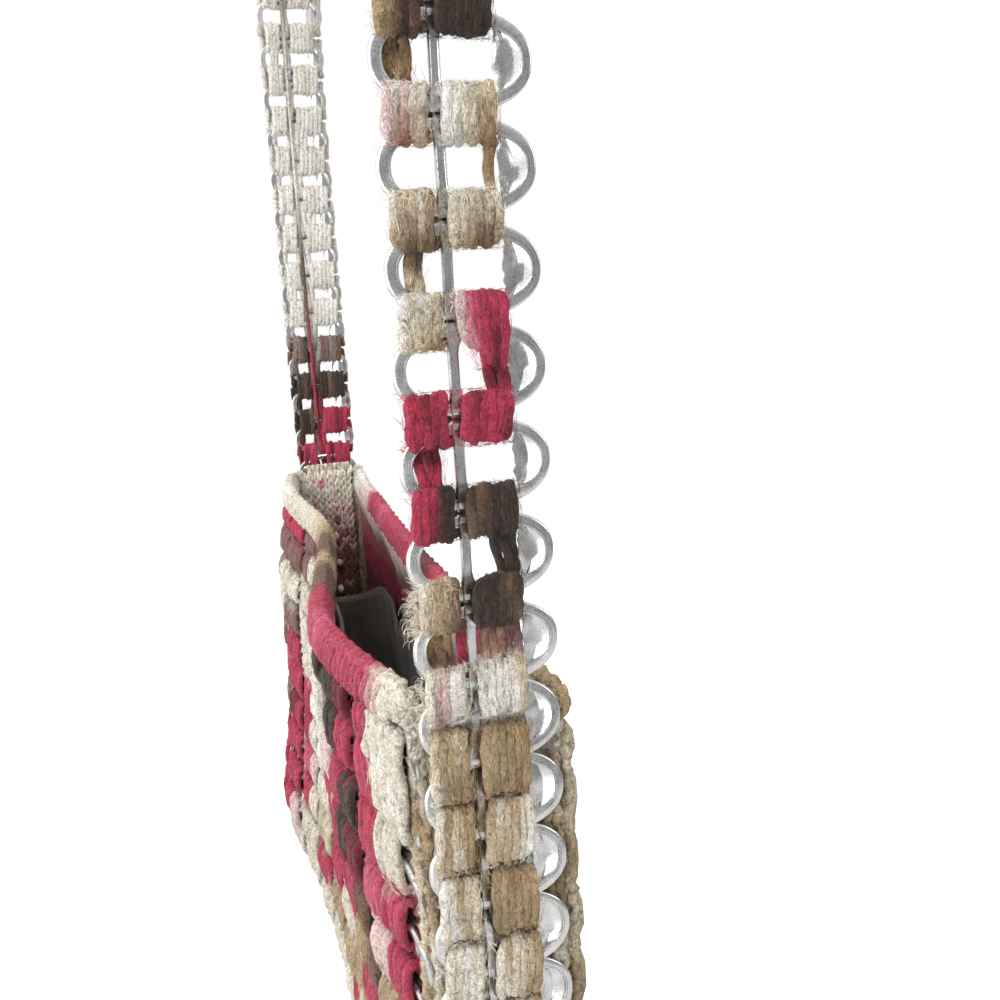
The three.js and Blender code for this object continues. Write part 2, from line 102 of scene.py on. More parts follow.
def along(table, x, column):
    """A smooth curve through a table's rows, read at x."""
    X, Y = np.array(table["x"], float), np.array(table[column], float)
    n = len(X)
    x = np.clip(np.asarray(x, float), X[0], X[-1])
    i = np.clip(np.searchsorted(X, x, side="left") - 1, 0, n - 2)
    lo, hi = np.maximum(np.arange(n) - 1, 0), np.minimum(np.arange(n) + 1, n - 1)
    S = (Y[hi] - Y[lo]) / (X[hi] - X[lo])
    w = X[i + 1] - X[i]
    t = (x - X[i]) / w
    t2, t3 = t * t, t * t * t
    return (2 * t3 - 3 * t2 + 1) * Y[i] + (t3 - 2 * t2 + t) * w * S[i] + (3 * t2 - 2 * t3) * Y[i + 1] + (t3 - t2) * w * S[i + 1]


def skin(side, x, h, depth=0.0):
    """A panel's outer skin at x and level h, or depth millimetres inside it. side is 'front' or 'back'."""
    folds, sign = (FRONT_FOLDS, -1) if side == "front" else (BACK_FOLDS, 1)
    Z = np.array(LEVELS["z"][2:], float)
    take = lambda c: np.interp(h, Z, np.array(LEVELS[c][2:], float))
    y = take("out") + take("belly") * along(folds, x, "belly") + take("bow") * along(folds, x, "bow")
    z = h + take("lift") * np.maximum(0, along(folds, x, "lift")) - take("drop") * along(folds, x, "drop")
    return np.stack(np.broadcast_arrays(np.asarray(x, float), sign * (y - depth), z), -1)


def unit(v):
    return v / np.maximum(np.linalg.norm(v, axis=-1, keepdims=True), 1e-9)


def panel_frame(side, x, h, depth=0.0):
    """Origin, across, along and out of a panel at x and level h."""
    o = skin(side, x, h, depth)
    e = 1 if side == "front" else -1
    a = unit(skin(side, x + e, h, depth) - skin(side, x - e, h, depth))
    b = skin(side, x, h + 1, depth) - skin(side, x, h - 1, depth)
    b = unit(b - a * np.sum(a * b, -1, keepdims=True))
    return o, a, b, np.cross(a, b)


def strap_joints(even):
    J = [np.array([HALF_LENGTH, RIM_Z])]
    for k in range(TABS):
        t = min(1, max(0, (k + 0.5 - STRAIGHT) / (TABS - 2 * STRAIGHT)))
        w = math.pi / 2 + math.pi * (even * t + (1 - even) * t * t * (3 - 2 * t))
        J.append(J[-1] + PITCH * np.array([math.cos(w), math.sin(w)]))
    return J


lo_, hi_ = 0.0, 1.0
for _ in range(50):
    mid_ = (lo_ + hi_) / 2
    if strap_joints(mid_)[TABS][0] > -HALF_LENGTH:
        lo_ = mid_
    else:
        hi_ = mid_
JOINTS = strap_joints(lo_)


def frame_at(x, z, d):
    a = np.array([0.0, 1, 0])
    b = np.array([d[0], 0, d[1]], float)
    b /= np.linalg.norm(b)
    return np.array([x, 0.0, z]), a, b, np.cross(a, b)


def tab_frame(k):
    a, b = JOINTS[k], JOINTS[k + 1]
    return frame_at((a[0] + b[0]) / 2, (a[1] + b[1]) / 2, b - a)


def joint_frame(k):
    a, b = JOINTS[max(k - 1, 0)], JOINTS[min(k + 1, TABS)]
    return frame_at(JOINTS[k][0], JOINTS[k][1], b - a)


# ------------------------------------------------------------------ yarn colours
def linear(rgb):
    c = np.array(rgb, float) / 255
    return np.where(c <= 0.04045, c / 12.92, ((c + 0.055) / 1.055) ** 2.4)


YARN = {
    "magenta": (184, 54, 84),
    "rose": (203, 88, 114),
    "maroon": (116, 26, 44),
    "dark": (62, 48, 38),
    "brown": (116, 90, 68),
    "mauve": (134, 98, 94),
    "redbrown": (160, 118, 98),
    "olive": (138, 120, 88),
    "tan": (182, 158, 122),
    "golden": (152, 124, 88),
    "beige": (212, 196, 168),
    "cream": (228, 220, 202),
    "white": (244, 240, 233),
    "pink": (230, 202, 199),
    "grey": (150, 146, 138),
}
YARN = {k: linear(v) for k, v in YARN.items()}


# ------------------------------------------------------------------ mesh building
class Soup:
    """Vertices, faces and per-vertex colour and fibre coordinates, gathered for one object."""

    def __init__(self):
        self.v, self.q, self.t, self.c, self.f, self.n = [], [], [], [], [], 0

    def add(self, v, quads=None, tris=None, col=(1, 1, 1), fib=None):
        v = np.asarray(v, float).reshape(-1, 3)
        if quads is not None and len(quads):
            self.q.append(np.asarray(quads, int).reshape(-1, 4) + self.n)
        if tris is not None and len(tris):
            self.t.append(np.asarray(tris, int).reshape(-1, 3) + self.n)
        self.v.append(v)
        self.c.append(np.broadcast_to(np.asarray(col, float), v.shape).reshape(-1, 3))
        self.f.append(v.copy() if fib is None else np.asarray(fib, float).reshape(-1, 3))
        self.n += len(v)

    def triangles(self):
        return 2 * sum(len(q) for q in self.q) + sum(len(t) for t in self.t)

    def build(self, name, material, sharp=None):
        v = np.concatenate(self.v) / 1000
        q = np.concatenate(self.q) if self.q else np.zeros((0, 4), int)
        t = np.concatenate(self.t) if self.t else np.zeros((0, 3), int)
        me = bpy.data.meshes.new(name)
        me.vertices.add(len(v))
        me.vertices.foreach_set("co", v.astype(np.float32).ravel())
        loops = np.concatenate([q.ravel(), t.ravel()]).astype(np.int32)
        me.loops.add(len(loops))
        me.loops.foreach_set("vertex_index", loops)
        starts = np.concatenate([np.arange(len(q)) * 4, len(q) * 4 + np.arange(len(t)) * 3]).astype(np.int32)
        me.polygons.add(len(starts))
        me.polygons.foreach_set("loop_start", starts)
        me.polygons.foreach_set("use_smooth", np.ones(len(starts), bool))
        me.update(calc_edges=True)
        c = me.color_attributes.new("Col", "FLOAT_COLOR", "POINT")
        rgba = np.ones((len(v), 4), np.float32)
        rgba[:, :3] = np.concatenate(self.c)
        c.data.foreach_set("color", rgba.ravel())
        f = me.attributes.new("fib", "FLOAT_VECTOR", "POINT")
        f.data.foreach_set("vector", np.concatenate(self.f).astype(np.float32).ravel())
        me.validate()
        if sharp is not None:
            me.set_sharp_from_angle(angle=math.radians(sharp))
        me.materials.append(material)
        ob = bpy.data.objects.new(name, me)
        bpy.context.scene.collection.objects.link(ob)
        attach(ob, "root")
        print(f"{name}: {self.triangles()} triangles")
        return ob


def transport(P, hint):
    T = np.gradient(P, axis=1)
    T = unit(T)
    N = np.empty_like(P)
    h = np.broadcast_to(hint, P[:, 0].shape)
    for i in range(P.shape[1]):
        h = h - T[:, i] * np.sum(h * T[:, i], -1, keepdims=True)
        h = unit(h)
        N[:, i] = h
    return T, N, np.cross(T, N)


def tubes(soup, P, R, sides, col, hint=(0.31, 0.22, 0.93), ply=0.13, pitch=5.0, rng=None, caps=True, lump=0.0):
    """A batch of round strands. P is (batch, points, 3), R the radius, col the colour at each point."""
    P = np.asarray(P, float)
    B, n, _ = P.shape
    R = np.broadcast_to(np.asarray(R, float), (B, n))
    col = np.asarray(col, float)
    if col.ndim == 1:
        col = np.broadcast_to(col, (B, n, 3))
    elif col.ndim == 2:
        col = np.broadcast_to(col[:, None, :], (B, n, 3))
    T, N, Bn = transport(P, np.asarray(hint, float))
    th = np.linspace(0, 2 * math.pi, sides, endpoint=False)
    step = np.linalg.norm(np.diff(P, axis=1), axis=-1)
    s = np.concatenate([np.zeros((B, 1)), np.cumsum(step, 1)], 1)
    turn = rng.uniform(0, 6.28, (B, 1, 1)) if rng is not None else 0.0
    lobe = 1 + ply * np.cos(2 * (th[None, None] - 2 * math.pi * s[..., None] / (2 * pitch)) + turn)
    rr = R[..., None] * lobe
    if lump:
        rr = rr * (1 + np.clip(rng.normal(0, lump, rr.shape), -2 * lump, 2 * lump))
    ring = np.cos(th)[None, None, :, None] * N[:, :, None] + np.sin(th)[None, None, :, None] * Bn[:, :, None]
    V = P[:, :, None] + rr[..., None] * ring
    off = rng.uniform(0, 90, (B, 1, 1, 3)) if rng is not None else np.zeros((B, 1, 1, 3))
    F = np.stack(
        np.broadcast_arrays(
            np.cos(th)[None, None] * R[..., None], np.sin(th)[None, None] * R[..., None], 0.34 * s[..., None]
        ),
        -1,
    ) + off
    C = np.broadcast_to(col[:, :, None], V.shape)
    i, j, b = np.arange(n - 1), np.arange(sides), np.arange(B)
    base = b[:, None, None] * n * sides + i[None, :, None] * sides
    jj, jn = j[None, None], ((j + 1) % sides)[None, None]
    Q = np.stack(np.broadcast_arrays(base + jj, base + jn, base + sides + jn, base + sides + jj), -1)
    if not caps:
        soup.add(V, quads=Q, col=C.reshape(-1, 3), fib=F)
        return
    ends = np.concatenate([P[:, :1] - 0.45 * T[:, :1] * R[:, :1, None], P[:, -1:] + 0.45 * T[:, -1:] * R[:, -1:, None]], 1)
    total = B * n * sides
    first, last = total + 2 * b, total + 2 * b + 1
    a0 = b * n * sides
    a1 = a0 + (n - 1) * sides
    t0 = np.stack(np.broadcast_arrays(first[:, None], a0[:, None] + (j + 1) % sides, a0[:, None] + j), -1)
    t1 = np.stack(np.broadcast_arrays(last[:, None], a1[:, None] + j, a1[:, None] + (j + 1) % sides), -1)
    soup.add(
        np.concatenate([V.reshape(-1, 3), ends.reshape(-1, 3)]),
        quads=Q,
        tris=np.concatenate([t0.reshape(-1, 3), t1.reshape(-1, 3)]),
        col=np.concatenate([C.reshape(-1, 3), col[:, [0, -1]].reshape(-1, 3)]),
        fib=np.concatenate([F.reshape(-1, 3), F[:, [0, -1], 0].reshape(-1, 3)]),
    )


def hairs(soup, P, width, col):
    """A batch of thin tapered fibres. P is (batch, points, 3)."""
    P = np.asarray(P, float)
    B, n, _ = P.shape
    k = n - 2
    T, N, Bn = transport(P, np.array([0.37, 0.51, 0.77]))
    th = np.array([0, 2.094, 4.189])
    taper = np.sin(np.linspace(0.35, math.pi - 0.35, k)) ** 0.5
    W = np.broadcast_to(np.asarray(width, float), (B,))[:, None] * taper[None] / 2
    ring = np.cos(th)[None, None, :, None] * N[:, 1:-1, None] + np.sin(th)[None, None, :, None] * Bn[:, 1:-1, None]
    V = P[:, 1:-1, None] + W[..., None, None] * ring
    b, i, j = np.arange(B), np.arange(k - 1), np.arange(3)
    base = b[:, None, None] * k * 3 + i[None, :, None] * 3
    jj, jn = j[None, None], ((j + 1) % 3)[None, None]
    Q = np.stack(np.broadcast_arrays(base + jj, base + jn, base + 3 + jn, base + 3 + jj), -1)
    total = B * k * 3
    first, last = total + 2 * b, total + 2 * b + 1
    a0 = b * k * 3
    a1 = a0 + (k - 1) * 3
    t0 = np.stack(np.broadcast_arrays(first[:, None], a0[:, None] + (j + 1) % 3, a0[:, None] + j), -1)
    t1 = np.stack(np.broadcast_arrays(last[:, None], a1[:, None] + j, a1[:, None] + (j + 1) % 3), -1)
    col = np.asarray(col, float)
    if col.ndim == 1:
        col = np.broadcast_to(col, (B, 3))
    C = np.concatenate([np.repeat(col, k * 3, 0), np.repeat(col, 2, 0)])
    soup.add(
        np.concatenate([V.reshape(-1, 3), P[:, [0, -1]].reshape(-1, 3)]),
        quads=Q,
        tris=np.concatenate([t0.reshape(-1, 3), t1.reshape(-1, 3)]),
        col=C,
    )


def place(fr, L):
    """Local (across, along, out) points in a frame."""
    o, a, b, c = fr
    L = np.asarray(L, float)
    return o + L[..., :1] * a + L[..., 1:2] * b + L[..., 2:3] * c


# ------------------------------------------------------------------ materials
def nodes_of(name):
    mat = bpy.data.materials.new(name)
    mat.use_nodes = True
    nt = mat.node_tree
    nt.nodes.clear()
    out = nt.nodes.new("ShaderNodeOutputMaterial")
    bsdf = nt.nodes.new("ShaderNodeBsdfPrincipled")
    nt.links.new(bsdf.outputs[0], out.inputs[0])
    return mat, nt, bsdf


def noise(nt, vector, scale, detail=3.0, rough=0.6, distortion=0.0):
    n = nt.nodes.new("ShaderNodeTexNoise")
    n.inputs["Scale"].default_value = scale
    n.inputs["Detail"].default_value = detail
    n.inputs["Roughness"].default_value = rough
    n.inputs["Distortion"].default_value = distortion
    if vector is not None:
        nt.links.new(vector, n.inputs["Vector"])
    return n.outputs[0]


def mapped(nt, value, lo, hi, to_lo, to_hi):
    r = nt.nodes.new("ShaderNodeMapRange")
    for key, x in (("From Min", lo), ("From Max", hi), ("To Min", to_lo), ("To Max", to_hi)):
        r.inputs[key].default_value = x
    nt.links.new(value, r.inputs["Value"])
    return r.outputs["Result"]


def maths(nt, op, a, b):
    n = nt.nodes.new("ShaderNodeMath")
    n.operation = op
    for k, x in enumerate((a, b)):
        if isinstance(x, (int, float)):
            n.inputs[k].default_value = x
        else:
            nt.links.new(x, n.inputs[k])
    return n.outputs[0]


def tinted(nt, colour, factor):
    """The colour times a grey factor."""
    n = nt.nodes.new("ShaderNodeVectorMath")
    n.operation = "SCALE"
    nt.links.new(colour, n.inputs[0])
    nt.links.new(factor, n.inputs["Scale"])
    return n.outputs[0]


def wool_material(name, grain=1.0, sheen=0.2, bump=0.0005):
    mat, nt, bsdf = nodes_of(name)
    col = nt.nodes.new("ShaderNodeAttribute")
    col.attribute_name = "Col"
    fib = nt.nodes.new("ShaderNodeAttribute")
    fib.attribute_name = "fib"
    geo = nt.nodes.new("ShaderNodeNewGeometry")
    pos = geo.outputs["Position"]
    f = fib.outputs["Vector"]
    # The same noises darken the colour and lower the bump, so the dips come out darker. This is partly the yarn's own
    # mottling and partly painted shade between the fibres; the broad spots noise, which goes down to half brightness,
    # is mostly painted shade.
    fine = noise(nt, f, 3.6, 3.0, 0.7, 1.2)
    salt = noise(nt, pos, 2300.0, 2.0, 0.8, 0.8)
    mottle_and_dip_shade = noise(nt, pos, 700.0, 2.0, 0.6, 0.6)
    value = maths(
        nt,
        "MULTIPLY",
        mapped(nt, fine, 0.34, 0.66, 1 - 0.30 * grain, 1 + 0.26 * grain),
        mapped(nt, salt, 0.34, 0.66, 1 - 0.42 * grain, 1 + 0.40 * grain),
    )
    value = maths(nt, "MULTIPLY", value, mapped(nt, mottle_and_dip_shade, 0.30, 0.47, 0.5, 1.04))
    nt.links.new(tinted(nt, col.outputs["Color"], value), bsdf.inputs["Base Color"])
    b = nt.nodes.new("ShaderNodeBump")
    b.inputs["Strength"].default_value = 1.0
    b.inputs["Distance"].default_value = bump
    nt.links.new(maths(nt, "ADD", salt, maths(nt, "ADD", fine, mottle_and_dip_shade)), b.inputs["Height"])
    nt.links.new(b.outputs[0], bsdf.inputs["Normal"])
    bsdf.inputs["Roughness"].default_value = 0.92
    bsdf.inputs["Specular IOR Level"].default_value = 0.15
    bsdf.inputs["Sheen Weight"].default_value = sheen
    bsdf.inputs["Sheen Roughness"].default_value = 0.45
    return mat


def hair_material(name):
    mat, nt, bsdf = nodes_of(name)
    col = nt.nodes.new("ShaderNodeAttribute")
    col.attribute_name = "Col"
    geo = nt.nodes.new("ShaderNodeNewGeometry")
    n = noise(nt, geo.outputs["Position"], 900.0, 1.0, 0.5)
    nt.links.new(tinted(nt, col.outputs["Color"], mapped(nt, n, 0.3, 0.7, 0.8, 1.2)), bsdf.inputs["Base Color"])
    bsdf.inputs["Roughness"].default_value = 0.6
    bsdf.inputs["Specular IOR Level"].default_value = 0.3
    return mat


def metal_material(name):
    mat, nt, bsdf = nodes_of(name)
    geo = nt.nodes.new("ShaderNodeNewGeometry")
    pos = geo.outputs["Position"]
    pits = noise(nt, pos, 3800.0, 2.0, 0.6)
    smear = noise(nt, pos, 260.0, 3.0, 0.6)
    bsdf.inputs["Metallic"].default_value = 1.0
    ramp = nt.nodes.new("ShaderNodeValToRGB")
    ramp.color_ramp.elements[0].position = 0.36
    ramp.color_ramp.elements[0].color = (0.46, 0.47, 0.49, 1)
    ramp.color_ramp.elements[1].position = 0.60
    ramp.color_ramp.elements[1].color = (0.78, 0.775, 0.76, 1)
    nt.links.new(maths(nt, "ADD", maths(nt, "MULTIPLY", pits, 0.6), maths(nt, "MULTIPLY", smear, 0.4)), ramp.inputs[0])
    nt.links.new(ramp.outputs[0], bsdf.inputs["Base Color"])
    nt.links.new(mapped(nt, smear, 0.3, 0.7, 0.17, 0.30), bsdf.inputs["Roughness"])
    b = nt.nodes.new("ShaderNodeBump")
    b.inputs["Strength"].default_value = 0.35
    b.inputs["Distance"].default_value = 0.00004
    nt.links.new(pits, b.inputs["Height"])
    nt.links.new(b.outputs[0], bsdf.inputs["Normal"])
    return mat


def lining_material(name):
    mat, nt, bsdf = nodes_of(name)
    geo = nt.nodes.new("ShaderNodeNewGeometry")
    pos = geo.outputs["Position"]
    col = nt.nodes.new("ShaderNodeAttribute")
    col.attribute_name = "Col"
    waves = []
    for direction, scale in (("X", 900.0), ("Z", 900.0)):
        w = nt.nodes.new("ShaderNodeTexWave")
        w.bands_direction = direction
        w.inputs["Scale"].default_value = scale
        w.inputs["Distortion"].default_value = 0.6
        nt.links.new(pos, w.inputs["Vector"])
        waves.append(w.outputs[1])
    weave = maths(nt, "MULTIPLY", waves[0], waves[1])
    blotch = noise(nt, pos, 60.0, 3.0, 0.6)
    value = maths(nt, "MULTIPLY", mapped(nt, weave, 0, 1, 0.8, 1.15), mapped(nt, blotch, 0.3, 0.7, 0.8, 1.25))
    nt.links.new(tinted(nt, col.outputs["Color"], value), bsdf.inputs["Base Color"])
    b = nt.nodes.new("ShaderNodeBump")
    b.inputs["Strength"].default_value = 0.5
    b.inputs["Distance"].default_value = 0.0001
    nt.links.new(weave, b.inputs["Height"])
    nt.links.new(b.outputs[0], bsdf.inputs["Normal"])
    bsdf.inputs["Roughness"].default_value = 0.8
    bsdf.inputs["Sheen Weight"].default_value = 0.15
    return mat


WOOL = wool_material("wool")
KNIT = wool_material("wool_cloth", 1.1, 0.2, 0.0006)
HAIR = hair_material("wool_fibre")
METAL = metal_material("tab_metal")
CLOTH = lining_material("lining_cloth")


# ------------------------------------------------------------------ the pull tab
def tab_shell(seg, profile, bar_rows, nose_rows, seed, shear=0.0, fine=True):
    """One tab's vertices, quads and triangles in its own frame, as closed shells: rim, bar and nose plate."""
    rng = np.random.default_rng(seed)
    V, Q, T, count = [], [], [], 0

    def put(v, q=(), t=()):
        nonlocal count
        V.append(np.asarray(v, float).reshape(-1, 3))
        if len(q):
            Q.append(np.asarray(q, int).reshape(-1, 4) + count)
        if len(t):
            T.append(np.asarray(t, int).reshape(-1, 3) + count)
        count += len(V[-1])

    a, b, e = TAB_W / 2, TAB_H / 2, 2 / TAB_POWER
    w = np.linspace(0, 2 * math.pi, seg, endpoint=False)
    c, s = np.cos(w), np.sin(w)
    out = np.stack([a * np.sign(c) * np.abs(c) ** e, b * np.sign(s) * np.abs(s) ** e], -1)
    d = np.roll(out, -1, 0) - np.roll(out, 1, 0)
    normal = unit(np.stack([-d[:, 1], d[:, 0]], -1))  # inwards
    width = 2.1 + 0.2 * np.clip(-c, 0, 1) ** 3 - 0.55 * np.clip(c, 0, 1) ** 3
    p = np.array(profile)
    ring = out[:, None] + normal[:, None] * (width[:, None] * p[None, :, 0])[..., None]
    h = np.broadcast_to(p[None, :, 1], ring.shape[:2])
    v = np.concatenate([ring, h[..., None]], -1)
    k = len(p)
    i, j = np.arange(seg)[:, None], np.arange(k)[None]
    q = np.stack(np.broadcast_arrays(i * k + j, i * k + (j + 1) % k, (i + 1) % seg * k + (j + 1) % k, (i + 1) % seg * k + j), -1)
    put(v, q.reshape(-1, 4)[:, ::-1])

    # the bar, narrow at the middle and flared at both ends
    y = np.sign(np.linspace(-1, 1, bar_rows)) * 7.5 * np.abs(np.linspace(-1, 1, bar_rows)) ** 0.85
    f = np.clip((np.abs(y) - 2.6) / 3.4, 0, 1) ** 1.8 - 0.55 * np.clip((np.abs(y) - 6.2) / 1.3, 0, 1)
    over = 0.14 * np.clip((np.abs(y) - 4.9) / 0.8, 0, 1)
    left, rgt = -3.45 - 0.45 * f, -1.65 + 1.6 * f
    if fine:
        prof = [(0, -0.45, 0), (0, 0.2, 0), (0.22, 0.50, 0), (0.42, 0.40, 0), (-0.55, 0.40, 1), (-0.16, 0.22, 1), (0, -0.05, 1), (0, -0.45, 1)]
    else:
        prof = [(0, -0.45, 0), (0, 0.40, 0), (0, 0.40, 1), (0, -0.45, 1)]
    rows = []
    for n_, yy in enumerate(y):
        rows.append([((left[n_] if e_ == 0 else rgt[n_]) + dx, yy, hh + (over[n_] if hh > 0 else 0)) for dx, hh, e_ in prof])
    v = np.array(rows)
    v[..., 0] += shear * v[..., 1]
    k = len(prof)
    i, j = np.arange(bar_rows - 1)[:, None], np.arange(k)[None]
    q = np.stack(np.broadcast_arrays(i * k + j, i * k + (j + 1) % k, (i + 1) * k + (j + 1) % k, (i + 1) * k + j), -1)
    cap = [[0, m_, m_ + 1] for m_ in range(1, k - 1)]
    last = (bar_rows - 1) * k
    capb = [[last, last + m_ + 1, last + m_] for m_ in range(1, k - 1)]
    put(v, q.reshape(-1, 4), cap + capb)

    # the nose plate, from the torn edge of the hole to the rim
    y = np.linspace(-5.6, 5.6, nose_rows)
    rim_x = a * np.clip(1 - np.abs(y / b) ** TAB_POWER, 0, 1) ** (1 / TAB_POWER) - 1.45
    jag = 6.5 + (rng.uniform(-0.28, 0.28, nose_rows) if fine else 0) + 0.35 * (np.abs(y) / 5.6) ** 2
    jag = np.minimum(jag, rim_x - 0.5)
    arc_in = np.maximum(9.2 - 0.045 * y**2 * 1.3, jag + 0.2)
    arc_in = np.minimum(arc_in, rim_x - 0.25)
    cols = []
    wob = (lambda s_: rng.uniform(-s_, s_, nose_rows)) if fine else (lambda s_: np.zeros(nose_rows))
    knots = np.array([-5.6, -3.4, -1.1, 0.6, 2.9, 5.6])

    def facets(size):
        """Straight creases between a few uneven points across the nose."""
        if not fine:
            return 0 * y
        return np.interp(y, knots + np.r_[0, rng.uniform(-0.5, 0.5, 4), 0], rng.uniform(-size, size, 6))

    cols.append((jag, 0.08 + wob(0.10) + facets(0.18)))
    cols.append((jag * 0.7 + arc_in * 0.3, -0.08 + facets(0.30)))
    if fine:
        cols.append((jag * 0.35 + arc_in * 0.65, -0.24 + facets(0.26)))
    cols.append((arc_in, -0.55 + wob(0.02)))
    cols.append((arc_in * 0.5 + rim_x * 0.5, -0.22 + 0 * y))
    cols.append((rim_x, 0.16 + 0 * y))
    m_ = len(cols)
    top = np.stack([np.stack([x_, y, h_], -1) for x_, h_ in cols], 1)
    low = top.copy()
    low[..., 2] -= 0.35
    n_ = nose_rows
    i, j = np.arange(n_ - 1)[:, None], np.arange(m_ - 1)[None]
    A = i * m_ + j
    q = np.stack(np.broadcast_arrays(A, A + 1, A + m_ + 1, A + m_), -1).reshape(-1, 4)
    N0 = n_ * m_
    q2 = q[:, ::-1] + N0
    edge = []
    loop = [(0, x_) for x_ in range(m_)] + [(y_, m_ - 1) for y_ in range(1, n_)] + [(n_ - 1, x_) for x_ in range(m_ - 2, -1, -1)] + [(y_, 0) for y_ in range(n_ - 2, 0, -1)]
    ids = [y_ * m_ + x_ for y_, x_ in loop]
    for k_, id_ in enumerate(ids):
        nx = ids[(k_ + 1) % len(ids)]
        edge.append([id_, id_ + N0, nx + N0, nx])
    put(np.concatenate([top.reshape(-1, 3), low.reshape(-1, 3)]), np.concatenate([q, q2, np.array(edge)]))
    return np.concatenate(V), np.concatenate(Q), np.concatenate(T)


FINE = [
    (0.0, 0.0), (0.03, 0.26), (0.10, 0.46), (0.22, 0.56), (0.66, 0.55), (0.73, 0.38), (0.80, 0.38), (0.86, 0.52),
    (0.94, 0.50), (1.0, 0.20), (0.98, -0.28), (0.80, -0.52), (0.28, -0.56), (0.06, -0.34),
]
MEDIUM = [(0.0, 0.0), (0.10, 0.46), (0.24, 0.56), (0.68, 0.54), (0.88, 0.50), (1.0, 0.10), (0.85, -0.50), (0.2, -0.54)]
COARSE = [(0.0, -0.1), (0.16, 0.54), (0.88, 0.50), (0.6, -0.55)]


def volume(v, q, t):
    tri = np.concatenate([q[:, [0, 1, 2]], q[:, [0, 2, 3]], t]) if len(t) else np.concatenate([q[:, [0, 1, 2]], q[:, [0, 2, 3]]])
    a, b, c = v[tri[:, 0]], v[tri[:, 1]], v[tri[:, 2]]
    return float(np.sum(a * np.cross(b, c))) / 6


def add_tab(soup, shell, fr, jitter=None):
    v, q, t = shell
    soup.add(place(fr, v), q, t)


MID_TAB = tab_shell(32, MEDIUM, 5, 6, 5)
LOW_TAB = tab_shell(20, COARSE, 3, 4, 6, fine=False)
print("tab triangles", [2 * len(s[1]) + len(s[2]) for s in (tab_shell(64, FINE, 15, 13, 1), MID_TAB, LOW_TAB)])


def tilt(fr, degrees, roll=0.0, yaw=0.0):
    """A frame whose along axis leans inwards by so many degrees."""
    o, a, b, c = fr
    r = math.radians(degrees)
    b2 = b * math.cos(r) - c * math.sin(r)
    c2 = c * math.cos(r) + b * math.sin(r)
    if roll:
        r = math.radians(roll)
        a, b2 = a * math.cos(r) + b2 * math.sin(r), b2 * math.cos(r) - a * math.sin(r)
    if yaw:
        r = math.radians(yaw)
        a, c2 = a * math.cos(r) + c2 * math.sin(r), c2 * math.cos(r) - a * math.sin(r)
    return o, a, b2, c2


def move(fr, u=0, v=0, n=0):
    o, a, b, c = fr
    return o + u * a + v * b + n * c, a, b, c


rng = np.random.default_rng(20)
strap_tabs = Soup()
for k in range(TABS):
    fr = tilt(tab_frame(k), rng.uniform(-0.8, 0.8), rng.uniform(-0.8, 0.8), rng.uniform(-1, 1))
    if k < 8:
        add_tab(strap_tabs, tab_shell(64, FINE, 15, 13, 40 + k), fr)
    else:
        add_tab(strap_tabs, MID_TAB, fr)
ob = strap_tabs.build("strap_tabs", METAL, 35)
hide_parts(*[f"strap_tab_{k + 1:02d}" for k in range(TABS)])


def gusset_frame(end, k):
    """The near (end 1) or far (end -1) gusset's tab k, counted from the mouth."""
    a = np.array([0.0, end, 0])
    b = np.array([0.0, 0, 1])
    return tilt((np.array([end * G_X, 0.0, G_FIRST - k * G_PITCH]), a, b, np.cross(a, b)), G_TILT)


gusset_tabs = Soup()
for k in range(G_TABS):
    fr = gusset_frame(1, k)
    fr = tilt(fr, rng.uniform(-0.6, 0.6), rng.uniform(-1, 1))
    add_tab(gusset_tabs, tab_shell(64, FINE, 15, 13, 70 + k, 0.16 if k == 0 else 0.0) if k < 6 else MID_TAB, fr)
ob = gusset_tabs.build("gusset_tabs", METAL, 35)
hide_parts(*[f"gusset_tab_{k + 1:02d}" for k in range(G_SHOWN)])

far_tabs = Soup()
for k in range(G_TABS):
    add_tab(far_tabs, MID_TAB if k < 4 else LOW_TAB, tilt(gusset_frame(-1, k), rng.uniform(-0.6, 0.6), rng.uniform(-1, 1)))
ob = far_tabs.build("gusset_tabs_far", METAL, 35)

# ------------------------------------------------------------------ wool wrapped round the rims
LEFT, RIGHT = (-11.8, -3.5), (-2.6, 6.9)
HOLE = {"left": (-9.5, -3.7), "right": (-0.1, 5.7)}


def words(text):
    return [YARN[w] for w in text.split()]


def blend_row(names, t):
    """A colour from a row of yarn colours, at t from 0 to 1 across it, with soft changes."""
    C = np.array(words(names))
    x = np.clip(np.asarray(t, float), 0, 1) * len(C) - 0.5
    i = np.clip(np.floor(x).astype(int), 0, len(C) - 1)
    j = np.clip(i + 1, 0, len(C) - 1)
    f = np.clip((x - i) * 1.5 - 0.25, 0, 1)[..., None]
    return C[i] * (1 - f) + C[j] * f


